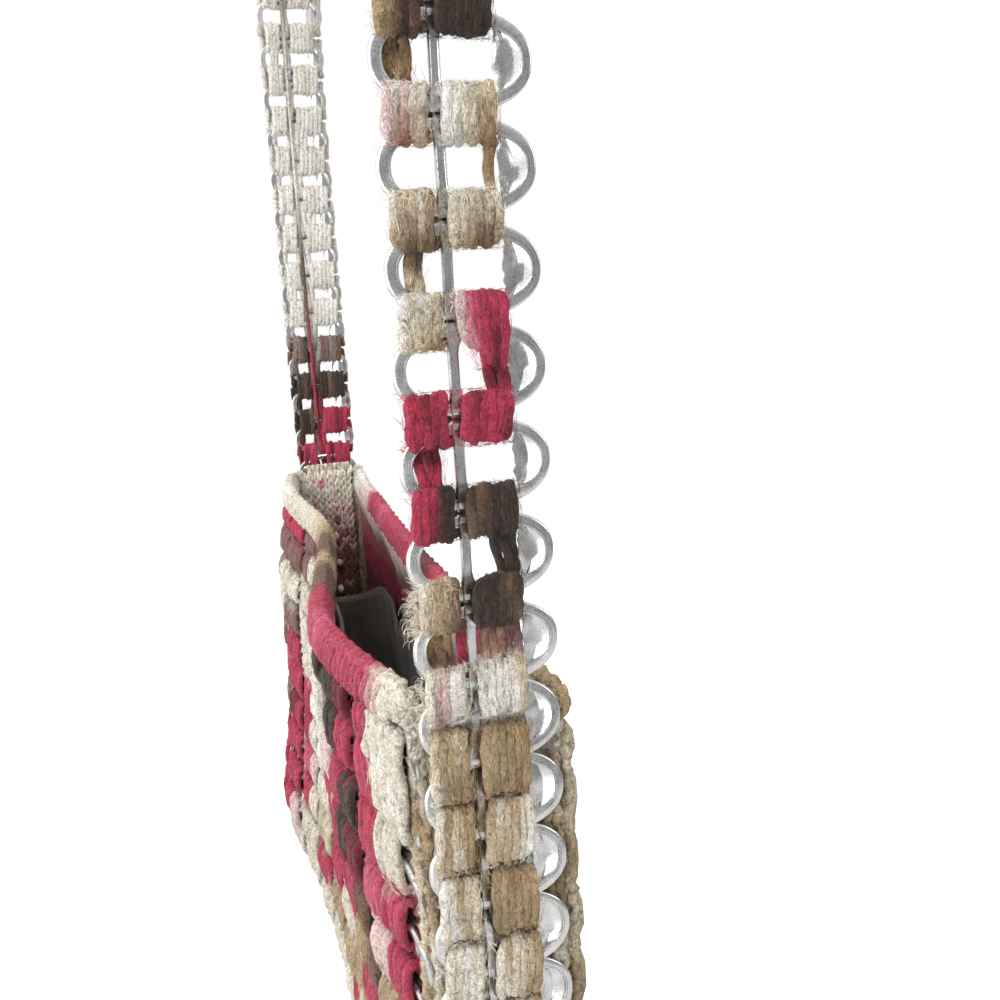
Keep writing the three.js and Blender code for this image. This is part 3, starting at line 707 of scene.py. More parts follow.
def wrap_path(side, turns, points, rng, half=3.55, thick=1.55, low=None, squeeze=0.0, lean=0.0, wide=None):
    """The line of wool wound round two rims: its local points and how far across (0..1) each is."""
    u0, u1 = wide or (LEFT if side == "left" else RIGHT)
    h0, h1 = wide and (u0 + 2.4, u1 - 1.0) or HOLE[side]
    n = int(turns * points)
    w = np.linspace(0, turns * 2 * math.pi, n) - math.pi / 2
    t = np.linspace(0, 1, n)
    c, s = np.sin(w), np.cos(w)  # s: front at +1; c: along the strap
    k = np.arange(n) / points
    wave = lambda amp, seed: amp * np.interp(k, np.arange(int(turns) + 3), rng.uniform(-1, 1, int(turns) + 3))
    a = half + wave(0.5, 1)
    down = a if low is None else np.interp(t, np.linspace(0, 1, len(low)), low)
    reach = np.where(c > 0, a, down)
    v = reach * np.sign(c) * np.abs(c) ** 0.86
    out = (thick + wave(0.18, 2)) * np.sign(s) * np.abs(s) ** 0.82
    front = u0 + 0.9 + t * (u1 - u0 - 1.8)
    inside = h0 + 0.3 + t * (h1 - h0 - 0.6)
    mix = np.clip(0.5 + 0.62 * s, 0, 1)
    u = inside * (1 - mix) + front * mix + wave(0.16, 3)
    if squeeze:
        f = np.clip(-v / np.max(down), 0, 1) ** 1.4
        u = u + (4.6 - u) * f * squeeze
    u = u + lean * v
    return np.stack([u, v, out], -1), t


# Each block's colours, across it from left to right: at its upper edge and at its lower edge.
NEAR_BLOCKS = {
    7: (("tan tan brown dark dark", "tan golden dark dark brown"), ("dark dark dark dark dark", "dark dark dark dark dark")),
    6: (("pink cream pink cream cream", "pink redbrown redbrown beige tan"), ("white cream cream beige beige", "white cream beige golden golden")),
    5: (("cream beige beige cream tan", "tan brown brown golden brown"), ("cream cream beige beige cream", "beige tan brown brown tan")),
    4: (("white cream cream cream beige", "cream beige beige tan tan"), ("pink rose magenta magenta magenta", "pink rose magenta maroon magenta")),
    3: (("magenta magenta maroon magenta magenta", "magenta magenta magenta maroon magenta"), ("magenta maroon magenta magenta magenta", "magenta magenta magenta magenta maroon")),
    2: (("magenta magenta magenta dark dark", "magenta magenta maroon dark dark"), ("dark brown dark dark dark", "brown dark dark dark dark")),
    1: (("cream beige tan beige brown", "beige tan tan brown brown"), ("dark dark dark brown dark", "dark dark dark dark brown")),
    0: (("cream pink pink white cream", "cream redbrown pink white cream"), ("cream white white cream beige", "white white cream white beige")),
    -1: (("beige tan tan beige tan", "cream olive tan olive tan"), ("tan tan olive tan golden", "tan olive tan golden tan")),
    -2: (("cream tan beige tan tan", "beige tan cream tan olive"), ("tan cream tan beige cream", "beige tan beige cream white")),
    -3: (("white cream tan cream beige", "cream white beige tan cream"), ("tan tan golden tan tan", "olive tan tan golden tan")),
    -4: (("cream cream white cream cream", "cream beige cream white cream"), ("cream tan cream beige tan", "cream cream beige tan tan")),
    -5: (("cream white cream beige cream", "beige cream cream tan cream"), ("tan beige tan cream tan", "tan tan beige tan tan")),
    -6: (("tan beige brown tan beige", "brown tan brown dark tan"), ("beige tan brown tan brown", "tan brown dark brown tan")),
    -7: (("dark brown dark brown dark", "dark dark brown dark dark"), ("brown dark dark dark brown", "dark dark dark dark dark")),
    -8: (("maroon dark magenta magenta dark", "magenta maroon magenta magenta maroon"), ("dark maroon magenta magenta magenta", "magenta magenta magenta rose magenta")),
    -9: (("magenta rose magenta magenta rose", "rose pink rose magenta rose"), ("magenta magenta rose rose pink", "rose pink pink rose cream")),
    -10: (("pink cream pink white cream", "cream white cream cream white"), ("cream pink white cream cream", "white cream white cream cream")),
}


def row_frame(k):
    """A joint's frame on the near strip: k counts up the strap from the mouth and down the gusset below it."""
    if k >= 0:
        return joint_frame(k)
    z = G_FIRST - (-k - 0.5) * G_PITCH
    a, b = np.array([0.0, 1, 0]), np.array([0.0, 0, 1])
    return np.array([G_X + 0.4, 0.0, z]), a, b, np.cross(a, b)


near_wool, gusset_wool, fuzz = Soup(), Soup(), Soup()
fuzz_near, fuzz_low = Soup(), Soup()


def block(soup, fr, side, rows, rng, turns=5.0, points=28, sides=10, radius=0.92, lump=0.0, **kw):
    L, t = wrap_path(side, turns, points, rng, **kw)
    hi, lo = blend_row(rows[0], t), blend_row(rows[1], t)
    f = np.clip(0.5 + L[:, 1] / 7.0 + rng.uniform(-0.1, 0.1, len(L)), 0, 1)[:, None]
    col = hi * f + lo * (1 - f)
    shade = 1 + 0.10 * np.interp(np.arange(len(L)) / points * 3, np.arange(60), rng.uniform(-1, 1, 60))[:, None]
    R = radius * (1 + 0.10 * np.interp(np.arange(len(L)) / points * 4, np.arange(80), rng.uniform(-1, 1, 80)))
    tubes(soup, place(fr, L)[None], R[None], sides, (col * shade)[None], hint=fr[1], rng=rng, lump=lump)
    return L, col


def hair_on_block(soup, fr, side, rows, rng, count, long=0.0, proud=0.55, half=4.45, thick=2.5, width=0.085, low=None, squeeze=0.0, wide=None):
    """Short curly fibres over a block's front, upper and lower edges."""
    u0, u1 = wide or (LEFT if side == "left" else RIGHT)
    n = 5
    i = np.linspace(-0.5, 0.5, n)[None]
    length = rng.uniform(0.9, 2.8, (count, 1)) * (1 + long)
    heading = rng.normal(0, 0.62 if not long else 0.25, (count, 1)) + i * rng.normal(0, 1.5, (count, 1))
    step = length / (n - 1)
    across = np.cumsum(np.sin(heading) * step, 1)
    around = np.cumsum(np.cos(heading) * step, 1)
    u = rng.uniform(u0 - 0.15, u1 + 0.15, (count, 1)) + across - across[:, 2:3]
    w = rng.uniform(-0.06, 1.06, (count, 1)) * math.pi + (around - around[:, 2:3]) / 3.9
    lift = proud * rng.random((count, 1)) ** 2.2 * (0.25 + 2.4 * i**2 * 1.6) + rng.uniform(0, 0.12, (count, 1))
    c, s = np.cos(w), np.sin(w)
    a = np.where(c > 0, half, half if low is None else low)
    v = (a + lift) * np.sign(c) * np.abs(c) ** 0.85
    out = (thick + lift) * np.sign(s) * np.abs(s) ** 0.62
    edge = np.clip((np.abs(u - (u0 + u1) / 2) - (u1 - u0) / 2 + 0.95) / 0.95, 0, 1.6)
    out = out - edge**2 * 0.9
    if squeeze:
        f = np.clip(-v / low, 0, 1) ** 1.4
        u = u + (4.6 - u) * f * squeeze
    L = np.stack([u, v, out], -1)
    t = (u[:, 2] - u0) / (u1 - u0)
    f = np.clip(0.5 + v[:, 2] / 7.0, 0, 1)[:, None]
    col = blend_row(rows[0], t) * f + blend_row(rows[1], t) * (1 - f)
    # Each fibre's colour is scaled at random, on average about a sixth lighter than its block: random tone plus painted
    # highlight on the loose fibres.
    col = np.clip(col * np.exp(rng.normal(0.1, 0.34, (count, 1))) + 0.01, 0, 0.95)
    hairs(soup, place(fr, L), rng.uniform(0.65, 1.3, count) * width, col)


rng = np.random.default_rng(7)
TALL = dict(low=[3.6, 4.4, 6.4, 7.4, 7.0], squeeze=0.55)
for k in range(7, -11, -1):
    fr = row_frame(k)
    for side, rows in zip(("left", "right"), NEAR_BLOCKS[k]):
        special = TALL if (k, side) == (4, "right") else {}
        detail = k >= -5
        target = near_wool if k >= 1 else gusset_wool
        thick = 1.55 if k >= 0 else 1.85
        tall = 3.6 if k > 0 else 4.0 if k == 0 else rng.uniform(5.2, 5.7)
        turns = 5.0 if side == "left" else 5.6
        block(
            target, fr, side, rows, rng, turns=turns, points=26 if detail else 14, sides=8 if detail else 5, radius=0.98,
            lump=0.06 if detail else 0.0, thick=thick, lean=rng.uniform(-0.05, 0.05), half=tall, **special,
        )
        if detail:
            extra = dict(low=7.8, squeeze=0.55) if special else {}
            silky = k in (0, 6) and side == "right"
            hair_on_block(
                fuzz_near if k >= 1 else fuzz_low, fr, side, rows, rng, 400 if k >= 1 else 370 if k >= -3 else 180,
                long=0.7 if silky else 0.0, half=tall + 0.9, thick=thick + 0.93, proud=0.6 if k >= 1 else 0.9, **extra,
            )

# strands that cross a hole behind its tab: tab, side, colours from above to below, how far across at top and bottom
BRIDGES = [
    (7, "left", "golden brown golden brown", 0.30, 0.33, 3),
    (6, "right", "golden golden beige", 0.80, 0.86, 1),
    (5, "left", "brown brown beige cream", 0.42, 0.30, 2),
    (4, "right", "maroon magenta maroon magenta", 0.66, 0.74, 3),
    (3, "left", "maroon maroon magenta magenta", 0.34, 0.40, 3),
    (2, "right", "dark dark dark", 0.62, 0.82, 3),
    (1, "left", "tan golden brown tan", 0.30, 0.36, 3),
    (1, "left", "maroon magenta maroon", 0.86, 0.82, 1),
    (1, "right", "mauve redbrown beige", 0.32, 0.36, 3),
    (1, "right", "mauve mauve cream", 0.80, 0.76, 2),
]
for tab, side, names, top_t, low_t, count in BRIDGES:
    fr = tab_frame(tab - 1)
    h0, h1 = (-10.6, -2.6) if side == "left" else (-1.2, 6.8)
    n = 18
    s = np.linspace(0, 1, n)
    for i in range(count):
        off = (i - (count - 1) / 2) * 1.25
        u = h0 + (h1 - h0) * (top_t + (low_t - top_t) * s) + off * (1 + 0.12 * np.sin(6.3 * s + i)) + 0.25 * np.sin(9 * s + 2.1 * i)
        v = 6.6 - 13.2 * s
        out = -1.35 + 0.5 * np.sin(7 * s + 2.4 * i + tab) + (0.9 if (tab, side) == (4, "right") else 0.25)
        L = np.stack([u, v, np.minimum(out, 1.0)], -1)
        col = blend_row(names, s) * (1 + 0.12 * np.sin(5 * s + 3 * i)[:, None])
        tubes(near_wool, place(fr, L)[None], 0.98 + 0.12 * np.sin(8 * s + i)[None], 10, col[None], hint=fr[1], rng=rng)
    c = 60 * count
    s2 = rng.random((c, 1)) + np.linspace(-0.10, 0.10, 5)[None] * rng.choice([-1, 1], (c, 1))
    u = h0 + (h1 - h0) * (top_t + (low_t - top_t) * s2) + rng.uniform(-0.62, 0.62, (c, 1)) * count * 1.3 + np.cumsum(rng.normal(0, 0.30, (c, 5)), 1)
    L = np.stack([u, 6.6 - 13.2 * s2, -0.15 + rng.uniform(-0.5, 0.45, (c, 1)) + np.cumsum(rng.normal(0, 0.10, (c, 5)), 1)], -1)
    # The fibres are scaled at random, on average about a sixth lighter than the strands: random tone plus painted
    # highlight on the loose fibres.
    col = blend_row(names, s2[:, 2]) * np.exp(rng.normal(0.1, 0.32, (c, 1))) + 0.01
    hairs(fuzz_near, place(fr, L), rng.uniform(0.05, 0.1, c), col)

# curls of loose fibre at the left of the lowest two blocks of the strap
rng = np.random.default_rng(11)
for k, colour, c in ((1, "cream", 90), (0, "cream", 60), (1, "beige", 40)):
    fr = joint_frame(k)
    n = 16
    s = np.linspace(0, 1, n)[None]
    root_v = rng.uniform(-4.5, 3.5, (c, 1))
    reach = rng.uniform(0.8, 3.6, (c, 1)) * rng.random((c, 1)) ** 0.3
    curl = rng.uniform(0.25, 0.7, (c, 1))
    speed = rng.uniform(1.2, 2.4, (c, 1))
    ph = rng.uniform(0, 6.28, (c, 1))
    u = -11.2 - reach * s + curl * np.cos(6.28 * speed * s + ph) * s
    v = root_v - rng.uniform(-0.5, 2.2, (c, 1)) * s**1.5 + curl * np.sin(6.28 * speed * s + ph) * s
    out = rng.uniform(-1.5, 2.0, (c, 1)) + curl * 0.6 * np.sin(6.28 * speed * s * 1.3 + ph) * s
    hairs(fuzz_near, place(fr, np.stack([u, v, out], -1)), rng.uniform(0.05, 0.085, c), np.clip(YARN[colour] * rng.uniform(0.8, 1.15, (c, 1)), 0, 0.95))

# a short stitch behind each gap between two tabs, from the left block to the right one, in dark or brown yarn at four
# fifths: painted shade in the gap
for k in range(7, 0, -1):
    s = np.linspace(0, 1, 7)
    P = np.stack([-4.9 + 3.9 * s, 0.5 * np.sin(3 * s + k), -0.75 + 0 * s], -1)
    tubes(near_wool, place(row_frame(k), P)[None], 1.0, 7, YARN["dark" if k not in (3, 6) else "brown"] * 0.8, hint=(0, 0, 1), rng=rng)

# the strand behind the bars, from joint to joint of the near leg
n = 60
s = np.linspace(0, 1, n)
z = 160 + s * (RIM_Z + 7 * PITCH - 160)
P = np.stack([HALF_LENGTH - 1.7 + 0 * z, -2.15 + 0.05 * np.sin(z * 0.55), z], -1)
names = "cream tan dark dark magenta maroon beige tan cream brown dark"
tubes(near_wool, P[None], 0.5, 8, blend_row(names, s)[None], rng=rng)
ob = near_wool.build("strap_wool_near_strands", WOOL)
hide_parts("strap_wool_near")

# ------------------------------------------------------------------ the rest of the strap's wool
rng = np.random.default_rng(31)
RUNS = [
    # from joint, to joint, left colours, right colours
    (8, 10, "tan brown dark dark brown", "dark dark brown dark dark"),
    (11, 13, "magenta magenta maroon magenta magenta", "magenta rose magenta magenta maroon"),
    (14, 16, "cream beige cream white cream", "cream white cream cream beige"),
    (17, 19, "tan tan golden brown tan", "tan beige tan tan brown"),
    (20, 22, "dark brown dark dark dark", "brown dark dark maroon dark"),
    (23, 25, "magenta magenta rose magenta magenta", "magenta maroon magenta rose magenta"),
    (26, 28, "pink cream white cream cream", "white cream cream pink cream"),

    (29, 40, "white white white cream white", "white white cream white white"),
    (41, 41, "mauve grey dark mauve brown", "grey mauve brown mauve grey"),
    (42, 42, "dark dark brown dark dark", "dark dark brown dark dark"),
    (43, 43, "dark dark dark dark brown", "magenta magenta magenta maroon magenta"),
    (44, 44, "magenta maroon magenta magenta rose", "magenta magenta maroon magenta magenta"),
]
far_wool = Soup()
for a_, b_, lft, rgt in RUNS:
    for k in range(a_, b_ + 1):
        fr = joint_frame(k)
        for side, names in (("left", lft), ("right", rgt)):
            parts = names.split()
            rng.shuffle(parts)
            names2 = " ".join(parts) if k not in (43,) else names
            if k < 30:
                block(far_wool, fr, side, (names2, names2), rng, turns=4.5, points=12, sides=5, radius=1.02, half=3.6, lean=rng.uniform(-0.06, 0.06))
                hair_on_block(fuzz, fr, side, (names2, names2), rng, 10, width=0.12)
            else:
                full = np.clip((k - 30) / 5, 0, 1)
                wide = (-12.2, -3.2 + 0.6 * full) if side == "left" else (-2.9, 7.4 + 3.6 * full)
                block(
                    far_wool, fr, side, (names2, names2), rng, turns=4.6 if side == "left" else 6.0, points=13, sides=6,
                    radius=1.12, half=3.9 + 1.1 * full, lean=rng.uniform(-0.05, 0.05), wide=wide, lump=0.05,
                )
                hair_on_block(fuzz, fr, side, (names2, names2), rng, 34, width=0.14, half=5.0 + 1.1 * full, thick=2.6, wide=wide)
P = []
for k in range(8, TABS):
    o, a, b, c = joint_frame(k)
    P.append(o - 2.6 * a - 1.6 * c)
    if k < TABS - 1:
        o, a, b, c = tab_frame(k)
        P.append(o - 2.6 * a - 1.7 * c)
P = np.array(P)
fine_i = np.linspace(0, len(P) - 1, len(P) * 3)
P = np.stack([np.interp(fine_i, np.arange(len(P)), P[:, i]) for i in range(3)], -1)
tubes(far_wool, P[None], 0.6, 6, blend_row("dark magenta cream tan dark magenta cream tan dark cream white brown magenta", np.linspace(0, 1, len(P)))[None], rng=rng)
# fuller wool where the strap comes down to the far end
for k in range(32, 44):
    fr = tab_frame(k)
    above = next(r for r in RUNS if r[0] <= k <= r[1])
    below = next(r for r in RUNS if r[0] <= k + 1 <= r[1])
    s = np.linspace(0, 1, 7)
    for n_, u in enumerate((-11.4, -9.6, -3.6, -1.9, -0.2, 7.4, 9.3, 11.1)):
        if k < 35 and n_ not in (0, 3, 6, 7):
            continue
        pick = lambda r: YARN[(r[2] if u < -2 else r[3]).split()[n_ % 5]]
        colour = pick(above) * (1 - s[:, None]) + pick(below) * s[:, None]
        P = np.stack([u + 0.3 * np.sin(5 * s + n_ + k), -7.0 + 14.0 * s, (0.75 if abs(u) > 2 else -0.4) + 0.35 * np.sin(6 * s + 2 * n_)], -1)
        tubes(far_wool, place(fr, P)[None], 1.15, 5, colour[None] * rng.uniform(0.88, 1.08), hint=fr[1], rng=rng, lump=0.05)
# a few strands that cross holes along the strap
for k in range(9, 41, 2):
    fr = tab_frame(k)
    side = rng.choice(["left", "right"])
    h0, h1 = (-10.6, -2.6) if side == "left" else (-1.2, 6.8)
    s = np.linspace(0, 1, 9)
    run = next(r for r in RUNS if r[0] <= k <= r[1])
    colour = YARN[run[2].split()[0]]
    t0 = rng.uniform(0.3, 0.8)
    for i in range(2):
        u = h0 + (h1 - h0) * t0 + (i - 0.5) * 1.3 + 0.2 * np.sin(9 * s + i)
        tubes(far_wool, place(fr, np.stack([u, 6.6 - 13.2 * s, -1.0 + 0.4 * np.sin(7 * s + 2 * i)], -1))[None], 0.95, 6, colour, hint=fr[1], rng=rng)
ob = far_wool.build("strap_wool_strands", WOOL)
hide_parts("strap_wool")


# ------------------------------------------------------------------ gussets and base
def braid(soup, P, out, across, radius, amp, wavelength, colours, sides=6, rng=None, strands=3, depth=0.5):
    """Strands that cross each other along the line P, like a crocheted seam."""
    d = np.concatenate([[0], np.cumsum(np.linalg.norm(np.diff(P, axis=0), axis=1))])
    for i in range(strands):
        ph = 2 * math.pi * i / strands
        w = 2 * math.pi * d / wavelength + ph
        line = P + across * (amp * np.sin(w))[:, None] + out * (depth * np.cos(2 * w))[:, None]
        tubes(soup, line[None], radius, sides, colours[None] if colours.ndim == 2 else colours, hint=(0, 0.3, 1) if abs(P[0, 2] - P[-1, 2]) < 50 else (1, 0.2, 0), rng=rng, pitch=3.5)


def steps(a, b, n):
    return np.linspace(np.asarray(a, float), np.asarray(b, float), n)


def backing(soup, end, seed):
    """Rows of crochet behind a gusset's tabs, a little proud inside each hole."""
    rng = np.random.default_rng(seed)
    names = "cream tan beige tan olive tan cream beige cream tan beige brown dark dark magenta rose cream white"
    for y in np.linspace(-12.0, 12.0, 14):
        z = np.arange(4.6, 153 if abs(y) < 9 else 139, 1.5 if end > 0 else 2.1)
        proud = 0.75 * np.cos((z - G_FIRST) * 2 * math.pi / G_PITCH)
        x = 138.9 + 0.35 * np.sin(z * 2.9 + y * 3.3) + proud * (0.6 if abs(y) < 9.5 else 0)
        P = np.stack([end * x, y + 0.35 * np.sin(z * 1.45 + y), z], -1)
        t = 1 - z / 153
        col = blend_row(names, np.clip(t + rng.normal(0, 0.015), 0, 1)) * (1 + 0.22 * np.sin(z * 1.8 + y * 2.0))[:, None]
        tubes(soup, P[None], 1.16, 6 if end > 0 else 5, col[None], hint=(0, 1, 0), rng=rng, lump=0.06)
    # inside: rows of V stitches
    inner = "cream cream pink redbrown mauve brown brown dark brown brown dark dark brown brown" if end < 0 else names
    dz, dy = (3.3, 2.9) if end < 0 else (4.4, 3.9)
    P, C = [], []
    for n_, z in enumerate(np.arange(6, 146, dz)):
        for y in np.arange(-9.8, 9.9, dy):
            s = np.linspace(0, 1, 4)
            tone = blend_row(inner, np.full(4, np.clip(1 - z / 153 + rng.normal(0, 0.035), 0, 1)))
            if end < 0 and rng.random() < 0.14 and z > 92:
                tone = tone * 0.35 + 0.65 * YARN[rng.choice(["cream", "pink", "rose", "mauve"])]
            for d in (-1, 1):
                P.append(np.stack([end * (137.4 - 0.35 * np.sin(math.pi * s)), y + d * (0.25 + 0.36 * dy * s) + rng.normal(0, 0.12), z + 1.25 * dz * s + rng.normal(0, 0.15)], -1))
                C.append(tone * rng.uniform(0.8, 1.2) * (1.25 if end < 0 else 1.0))
    tubes(soup, np.array(P), 0.95 if end < 0 else 1.15, 5, np.array(C), hint=(0, 1, 0), rng=rng)
    if end < 0:
        for z, y in ((119.5, 0.6), (107.5, 0.9), (95.5, 0.4)):
            P = np.stack([np.full(5, -135.4), y + np.linspace(-1.1, 1.1, 5), np.full(5, z)], -1)
            tubes(soup, P[None], np.array([[1.1, 1.8, 2.1, 1.8, 1.1]]), 8, YARN["white"], hint=(0, 0, 1), rng=rng)


backing(gusset_wool, 1, 3)
ob = gusset_wool.build("gusset_wool_near", WOOL)
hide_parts("gusset_near")

rng = np.random.default_rng(61)
far_gusset = Soup()
backing(far_gusset, -1, 4)
for k in range(1, G_TABS):
    z = G_FIRST - (k - 0.5) * G_PITCH
    a, b = np.array([0.0, -1, 0]), np.array([0.0, 0, 1])
    fr = (np.array([-(G_X + 0.4), 0.0, z]), a, b, np.cross(a, b))
    names = ["cream pink cream white cream", "beige tan cream tan beige", "tan brown tan golden tan", "brown dark dark brown dark", "dark maroon dark magenta maroon", "magenta magenta rose magenta magenta"][k % 6]
    for side in ("left", "right"):
        block(far_gusset, fr, side, (names, names), rng, turns=4.5, points=11, sides=5, radius=1.05, thick=1.8, half=4.7)
ob = far_gusset.build("gusset_wool_far", WOOL)
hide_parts("gusset_far")

# base: the strip goes on under the bag, pressed flat
base_tabs, base_wool = Soup(), Soup()
rng = np.random.default_rng(5)
for i in range(20):
    x = -130.15 + i * 13.7
    a, b = np.array([0.0, 1, 0]), np.array([-1.0, 0, 0])
    fr = (np.array([x, 0.0, 0.95]), a, b, np.array([0.0, 0, -1]))
    fr = (fr[0], np.array([0.0, 1, 0]), np.array([1.0, 0, 0]), np.array([0.0, 0, -1.0]))
    add_tab(base_tabs, LOW_TAB, fr)
ob = base_tabs.build("base_tabs", METAL, 35)
for y in np.arange(-10.2, 10.3, 1.85):
    x = np.arange(-138.2, 138.3, 3.4)
    zz = 2.45 + 0.3 * np.sin(x * 1.9 + y * 2)
    P = np.stack([x, y + 0.3 * np.sin(x * 1.1 + y), zz], -1)
    tubes(base_wool, P[None], 1.25, 5, blend_row("white cream tan brown dark magenta rose cream white tan beige brown dark magenta cream", (x + 140) / 280)[None], rng=rng, ply=0.15, pitch=4.0)
for i in range(19):
    x = -123.3 + i * 13.7
    for y0, y1 in ((-10.0, -4.2), (-1.6, 5.8)):
        for y in np.linspace(y0, y1, 4):
            s = np.linspace(-1, 1, 6)
            P = np.stack([x + 3.6 * s, np.full(6, y), 1.35 - 0.35 * (1 - s**2)], -1)
            tubes(base_wool, P[None], 0.95, 5, YARN[["cream", "tan", "brown", "dark", "magenta", "rose"][(i + 2) % 6]], rng=rng)
ob = base_wool.build("base_wool", WOOL)
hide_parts("base")

# ------------------------------------------------------------------ panels
COLUMNS, ROWS = 11, 11
COL_PITCH = 2 * PANEL_END / COLUMNS
ROW_PITCH = 13.4
TOP_ROW = 140.4
# The yarn at each joint down each column, from the mouth to the lower edge, far column first.
# Where the two halves of a joint differ, the far half comes before the stroke.
FRONT_YARN = [
    "cream magenta mauve cream cream rose magenta magenta rose pink cream",
    "magenta mauve grey/cream cream mauve rose olive magenta magenta magenta pink",
    "magenta mauve cream mauve magenta magenta maroon/magenta magenta magenta magenta/pink cream",
    "mauve mauve/cream cream cream cream magenta/white magenta/cream rose/pink magenta/cream cream cream",
    "cream brown/cream cream cream cream white white/pink cream beige magenta cream",
    "cream cream dark/cream cream cream cream/magenta magenta magenta magenta tan cream",
    "cream cream/dark dark cream magenta magenta/maroon magenta magenta/dark cream tan cream",
    "cream dark cream pink/magenta magenta magenta/dark magenta cream tan magenta cream",
    "cream/dark cream cream/pink magenta magenta/maroon magenta cream/tan tan beige/tan cream magenta",
    "dark/maroon dark/magenta magenta/dark dark/maroon magenta/brown tan/mauve magenta magenta rose/cream tan/cream cream",
    "magenta/cream magenta/cream magenta/cream rose/magenta pink/magenta tan/cream beige/tan magenta rose/magenta pink/cream cream",
]
BACK_YARN = [
    "cream tan brown dark magenta magenta rose cream cream tan brown",
    "beige tan tan dark maroon magenta pink cream beige tan tan",
    "tan brown dark magenta magenta rose cream white tan tan brown",
    "cream cream tan brown dark maroon magenta rose cream cream tan",
    "magenta rose pink cream tan tan brown dark maroon magenta rose",
    "dark magenta magenta rose cream cream beige tan brown dark dark",
    "brown dark dark magenta magenta pink white cream tan golden brown",
    "magenta magenta cream cream beige tan brown dark dark magenta magenta",
    "mauve magenta magenta cream white cream tan tan brown dark maroon",
    "rose pink cream cream tan golden brown dark dark magenta magenta",
    "beige beige tan beige tan tan beige tan tan cream tan",
]
TOP_JOINT = TOP_ROW + ROW_PITCH / 2


def yarn_table(rows):
    return np.array([[[YARN[(w.split("/") * 2)[half]] for w in row.split()] for half in (0, 1)] for row in rows])


YARN_AT = {"front": yarn_table(FRONT_YARN), "back": yarn_table(BACK_YARN)}


def yarn_at(side, x, h):
    """The panel's colour near x and level h, with soft changes down the column."""
    C = YARN_AT[side]
    place_ = (np.asarray(x) + PANEL_END) / COL_PITCH
    c = np.clip(place_.astype(int), 0, COLUMNS - 1)
    half = (place_ - c > 0.43).astype(int)
    r = np.clip((TOP_JOINT - np.asarray(h)) / ROW_PITCH, 0, ROWS - 1.001)
    i = np.floor(r).astype(int)
    f = np.clip((r - i) * 2.2 - 0.6, 0, 1)[..., None]
    return C[c, half, i] * (1 - f) + C[c, half, i + 1] * f


def inner_tone(side, x, h):
    """The colour of a panel's inside face."""
    tone = yarn_at(side, x, h)
    rows = [(151, "cream"), (141, "pink"), (134, "mauve"), (125, "rose"), (117, "magenta"), (109, "magenta"), (102, "maroon"), (92, "maroon")]
    z = np.array([r[0] for r in rows][::-1], float)
    C = np.array([YARN[r[1]] for r in rows][::-1])
    wave = h + 3.5 * np.sin(x * 0.11) + 2.0 * np.sin(x * 0.31 + h * 0.2)
    top = np.stack([np.interp(wave, z, C[:, n_]) for n_ in range(3)], -1)
    f = np.clip((h - 80) / 12, 0, 1)[..., None]
    return tone * (1 - f) + top * f


